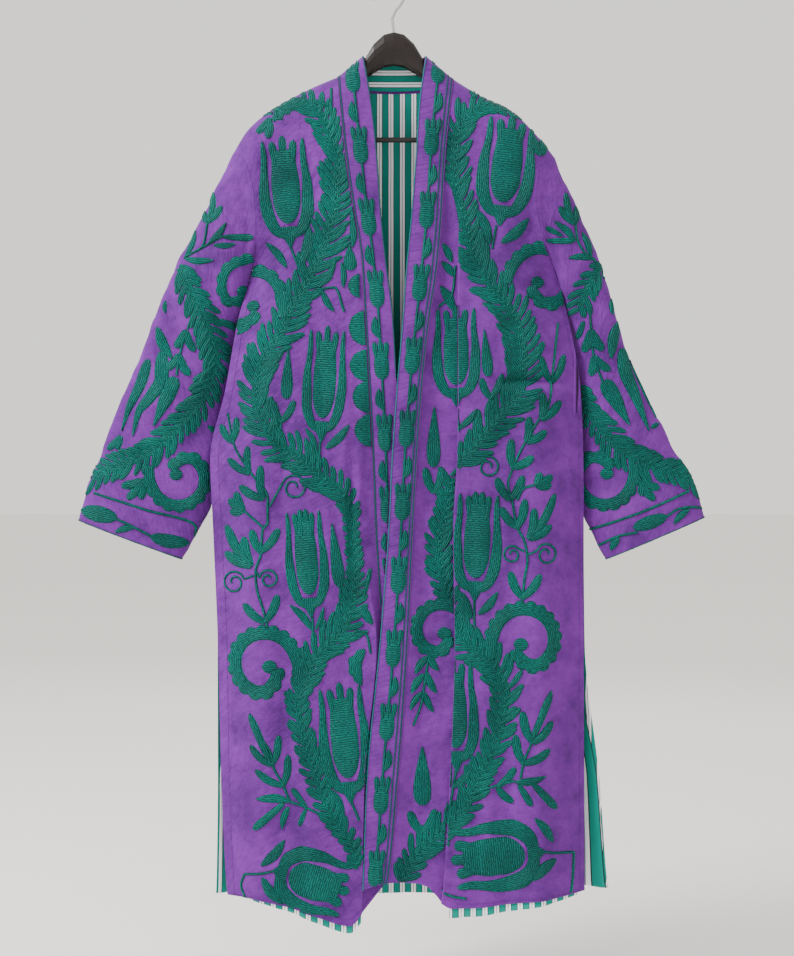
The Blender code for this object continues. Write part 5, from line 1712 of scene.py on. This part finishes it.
# The first stroke is the painted shadow in the slit, the other two are the purple lips
stroke(pocket, ((577, 350), (576.5, 380), (575.5, 413)), 2.4, LEAF, RIBS, height=0.4)
stroke(pocket, ((574.6, 346), (574, 380), (573.2, 416)), 3.2, FINGER, CHAIN, height=0.9)
stroke(pocket, ((579.2, 346), (578.8, 380), (577.8, 416)), 3.0, FINGER, CHAIN, height=0.8)
sew_on("pocket_mouth", [(pocket, -1, right_limits)], front_right_tree, (PURPLE, POCKET_SHADOW))

# The hanger
# Dark-stained hardwood cut to the slope of the shoulders and lacquered, with a plastic-coated bar
# between its arms and a bright steel wire hook screwed into it.


def stained_wood():
    """Beech under a dark brown stain and satin lacquer: faint long grain and a soft gloss."""
    made, tree, shader = new_material("stained_wood")
    place = node(tree, "ShaderNodeTexCoord")
    stretched = node(tree, "ShaderNodeMapping", [("Vector", place.outputs["Object"])],
                     [("Scale", (per_metre(71.429), per_metre(6.25), per_metre(6.25)))])
    grain = node(tree, "ShaderNodeTexNoise", [("Vector", stretched.outputs["Vector"])],
                 [("Scale", 1), ("Detail", 5), ("Distortion", 0.6)])
    tone = node(tree, "ShaderNodeMix", [("Factor", grain.outputs["Fac"])],
                [("A", linear("#0e0706")), ("B", linear("#1e1413"))], data_type="RGBA")
    bump = node(tree, "ShaderNodeBump", [("Height", grain.outputs["Fac"])],
                [("Strength", 0.15), ("Distance", 0.3 * MM)])
    set_up(tree, shader, [("Base Color", tone.outputs["Result"]), ("Normal", bump.outputs["Normal"])],
           [("Roughness", 0.42), ("Specular IOR Level", 0.3), ("Coat Weight", 0.05),
            ("Coat Roughness", 0.3)])
    return made


def coated_bar():
    """A black vinyl sleeve over the bar: nearly matt, with a fine moulded grain."""
    made, tree, shader = new_material("coated_bar")
    place = node(tree, "ShaderNodeTexCoord")
    grain = node(tree, "ShaderNodeTexNoise", [("Vector", place.outputs["Object"])],
                 [("Scale", per_metre(1.4286)), ("Detail", 2)])
    tone = node(tree, "ShaderNodeMix", [("Factor", grain.outputs["Fac"])],
                [("A", linear("#030405")), ("B", linear("#07090b"))], data_type="RGBA")
    set_up(tree, shader, [("Base Color", tone.outputs["Result"])], [("Roughness", 0.5)])
    return made


def drawn_steel():
    """Bright drawn steel wire, nickel plated: a clean metal with fine lines along its length."""
    made, tree, shader = new_material("drawn_steel")
    place = node(tree, "ShaderNodeTexCoord")
    lines = node(tree, "ShaderNodeTexNoise", [("Vector", place.outputs["Object"])],
                 [("Scale", per_metre(3.8462)), ("Detail", 3)])
    tone = node(tree, "ShaderNodeMix", [("Factor", lines.outputs["Fac"])],
                [("A", linear("#9c9a98")), ("B", linear("#d4d3d2"))], data_type="RGBA")
    set_up(tree, shader, [("Base Color", tone.outputs["Result"])], [("Metallic", 1), ("Roughness", 0.24)])
    return made


for name, finish in (("hanger_wood", stained_wood()), ("hanger_bar", coated_bar()),
                     ("hanger_hook", drawn_steel())):
    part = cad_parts[name]
    part.data.materials.clear()
    part.data.materials.append(finish)

# The room for the picture
# A plain pale floor below the hem and soft light from large lamps in front of the robe.
FLOOR_DROP = 0.12
FLOOR_REACH = 30
PICTURE_MIDDLE = Vector((0.0112, 0, -0.707))
LAMPS = (
    ("key", (-2.2, -1.3, 1.5), 1.0, 175),
    ("fill", (2.4, -2.0, 0.1), 2.2, 6),
    ("back_wash", (0.4, 2.6, 1.0), 2.4, 18),
)
floor_z = cad_box[0][2] - FLOOR_DROP
corners = [(x * FLOOR_REACH, y * FLOOR_REACH, floor_z) for x, y in ((-1, -1), (1, -1), (1, 1), (-1, 1))]
floor_mesh = bpy.data.meshes.new("floor")
floor_mesh.from_pydata(corners, [], [(0, 1, 2, 3)])
floor = bpy.data.objects.new("floor", floor_mesh)
bpy.context.scene.collection.objects.link(floor)
pale, tree, shader = new_material("pale_floor")
set_up(tree, shader, settings=[("Base Color", linear("#f3f1ec")), ("Roughness", 0.9)])
floor_mesh.materials.append(pale)

world = bpy.data.worlds.new("studio")
bpy.context.scene.world = world
world.use_nodes = True
set_up(world.node_tree, world.node_tree.nodes["Background"],
       settings=[("Color", linear("#f4f2ee")), ("Strength", 1.4)])
for name, place, size, power in LAMPS:
    lamp = bpy.data.lights.new(name, "AREA")
    lamp.shape = "SQUARE"
    lamp.size = size
    lamp.energy = power
    stand = bpy.data.objects.new(name, lamp)
    stand.location = place
    stand.rotation_euler = (PICTURE_MIDDLE - Vector(place)).to_track_quat("-Z", "Y").to_euler()
    bpy.context.scene.collection.objects.link(stand)

# The camera
# Level and square to the robe, 2.2 m away, framed as the photograph is.
CAMERA_DISTANCE = 2.2
PICTURE_HEIGHT = 1.328
lens = bpy.data.cameras.new("camera")
lens.sensor_fit = "VERTICAL"
lens.angle = 2 * math.atan(PICTURE_HEIGHT / 2 / CAMERA_DISTANCE)
camera = bpy.data.objects.new("camera", lens)
camera.location = PICTURE_MIDDLE - Vector((0, CAMERA_DISTANCE, 0))
camera.rotation_euler = (math.pi / 2, 0, 0)
bpy.context.scene.collection.objects.link(camera)
bpy.context.scene.camera = camera
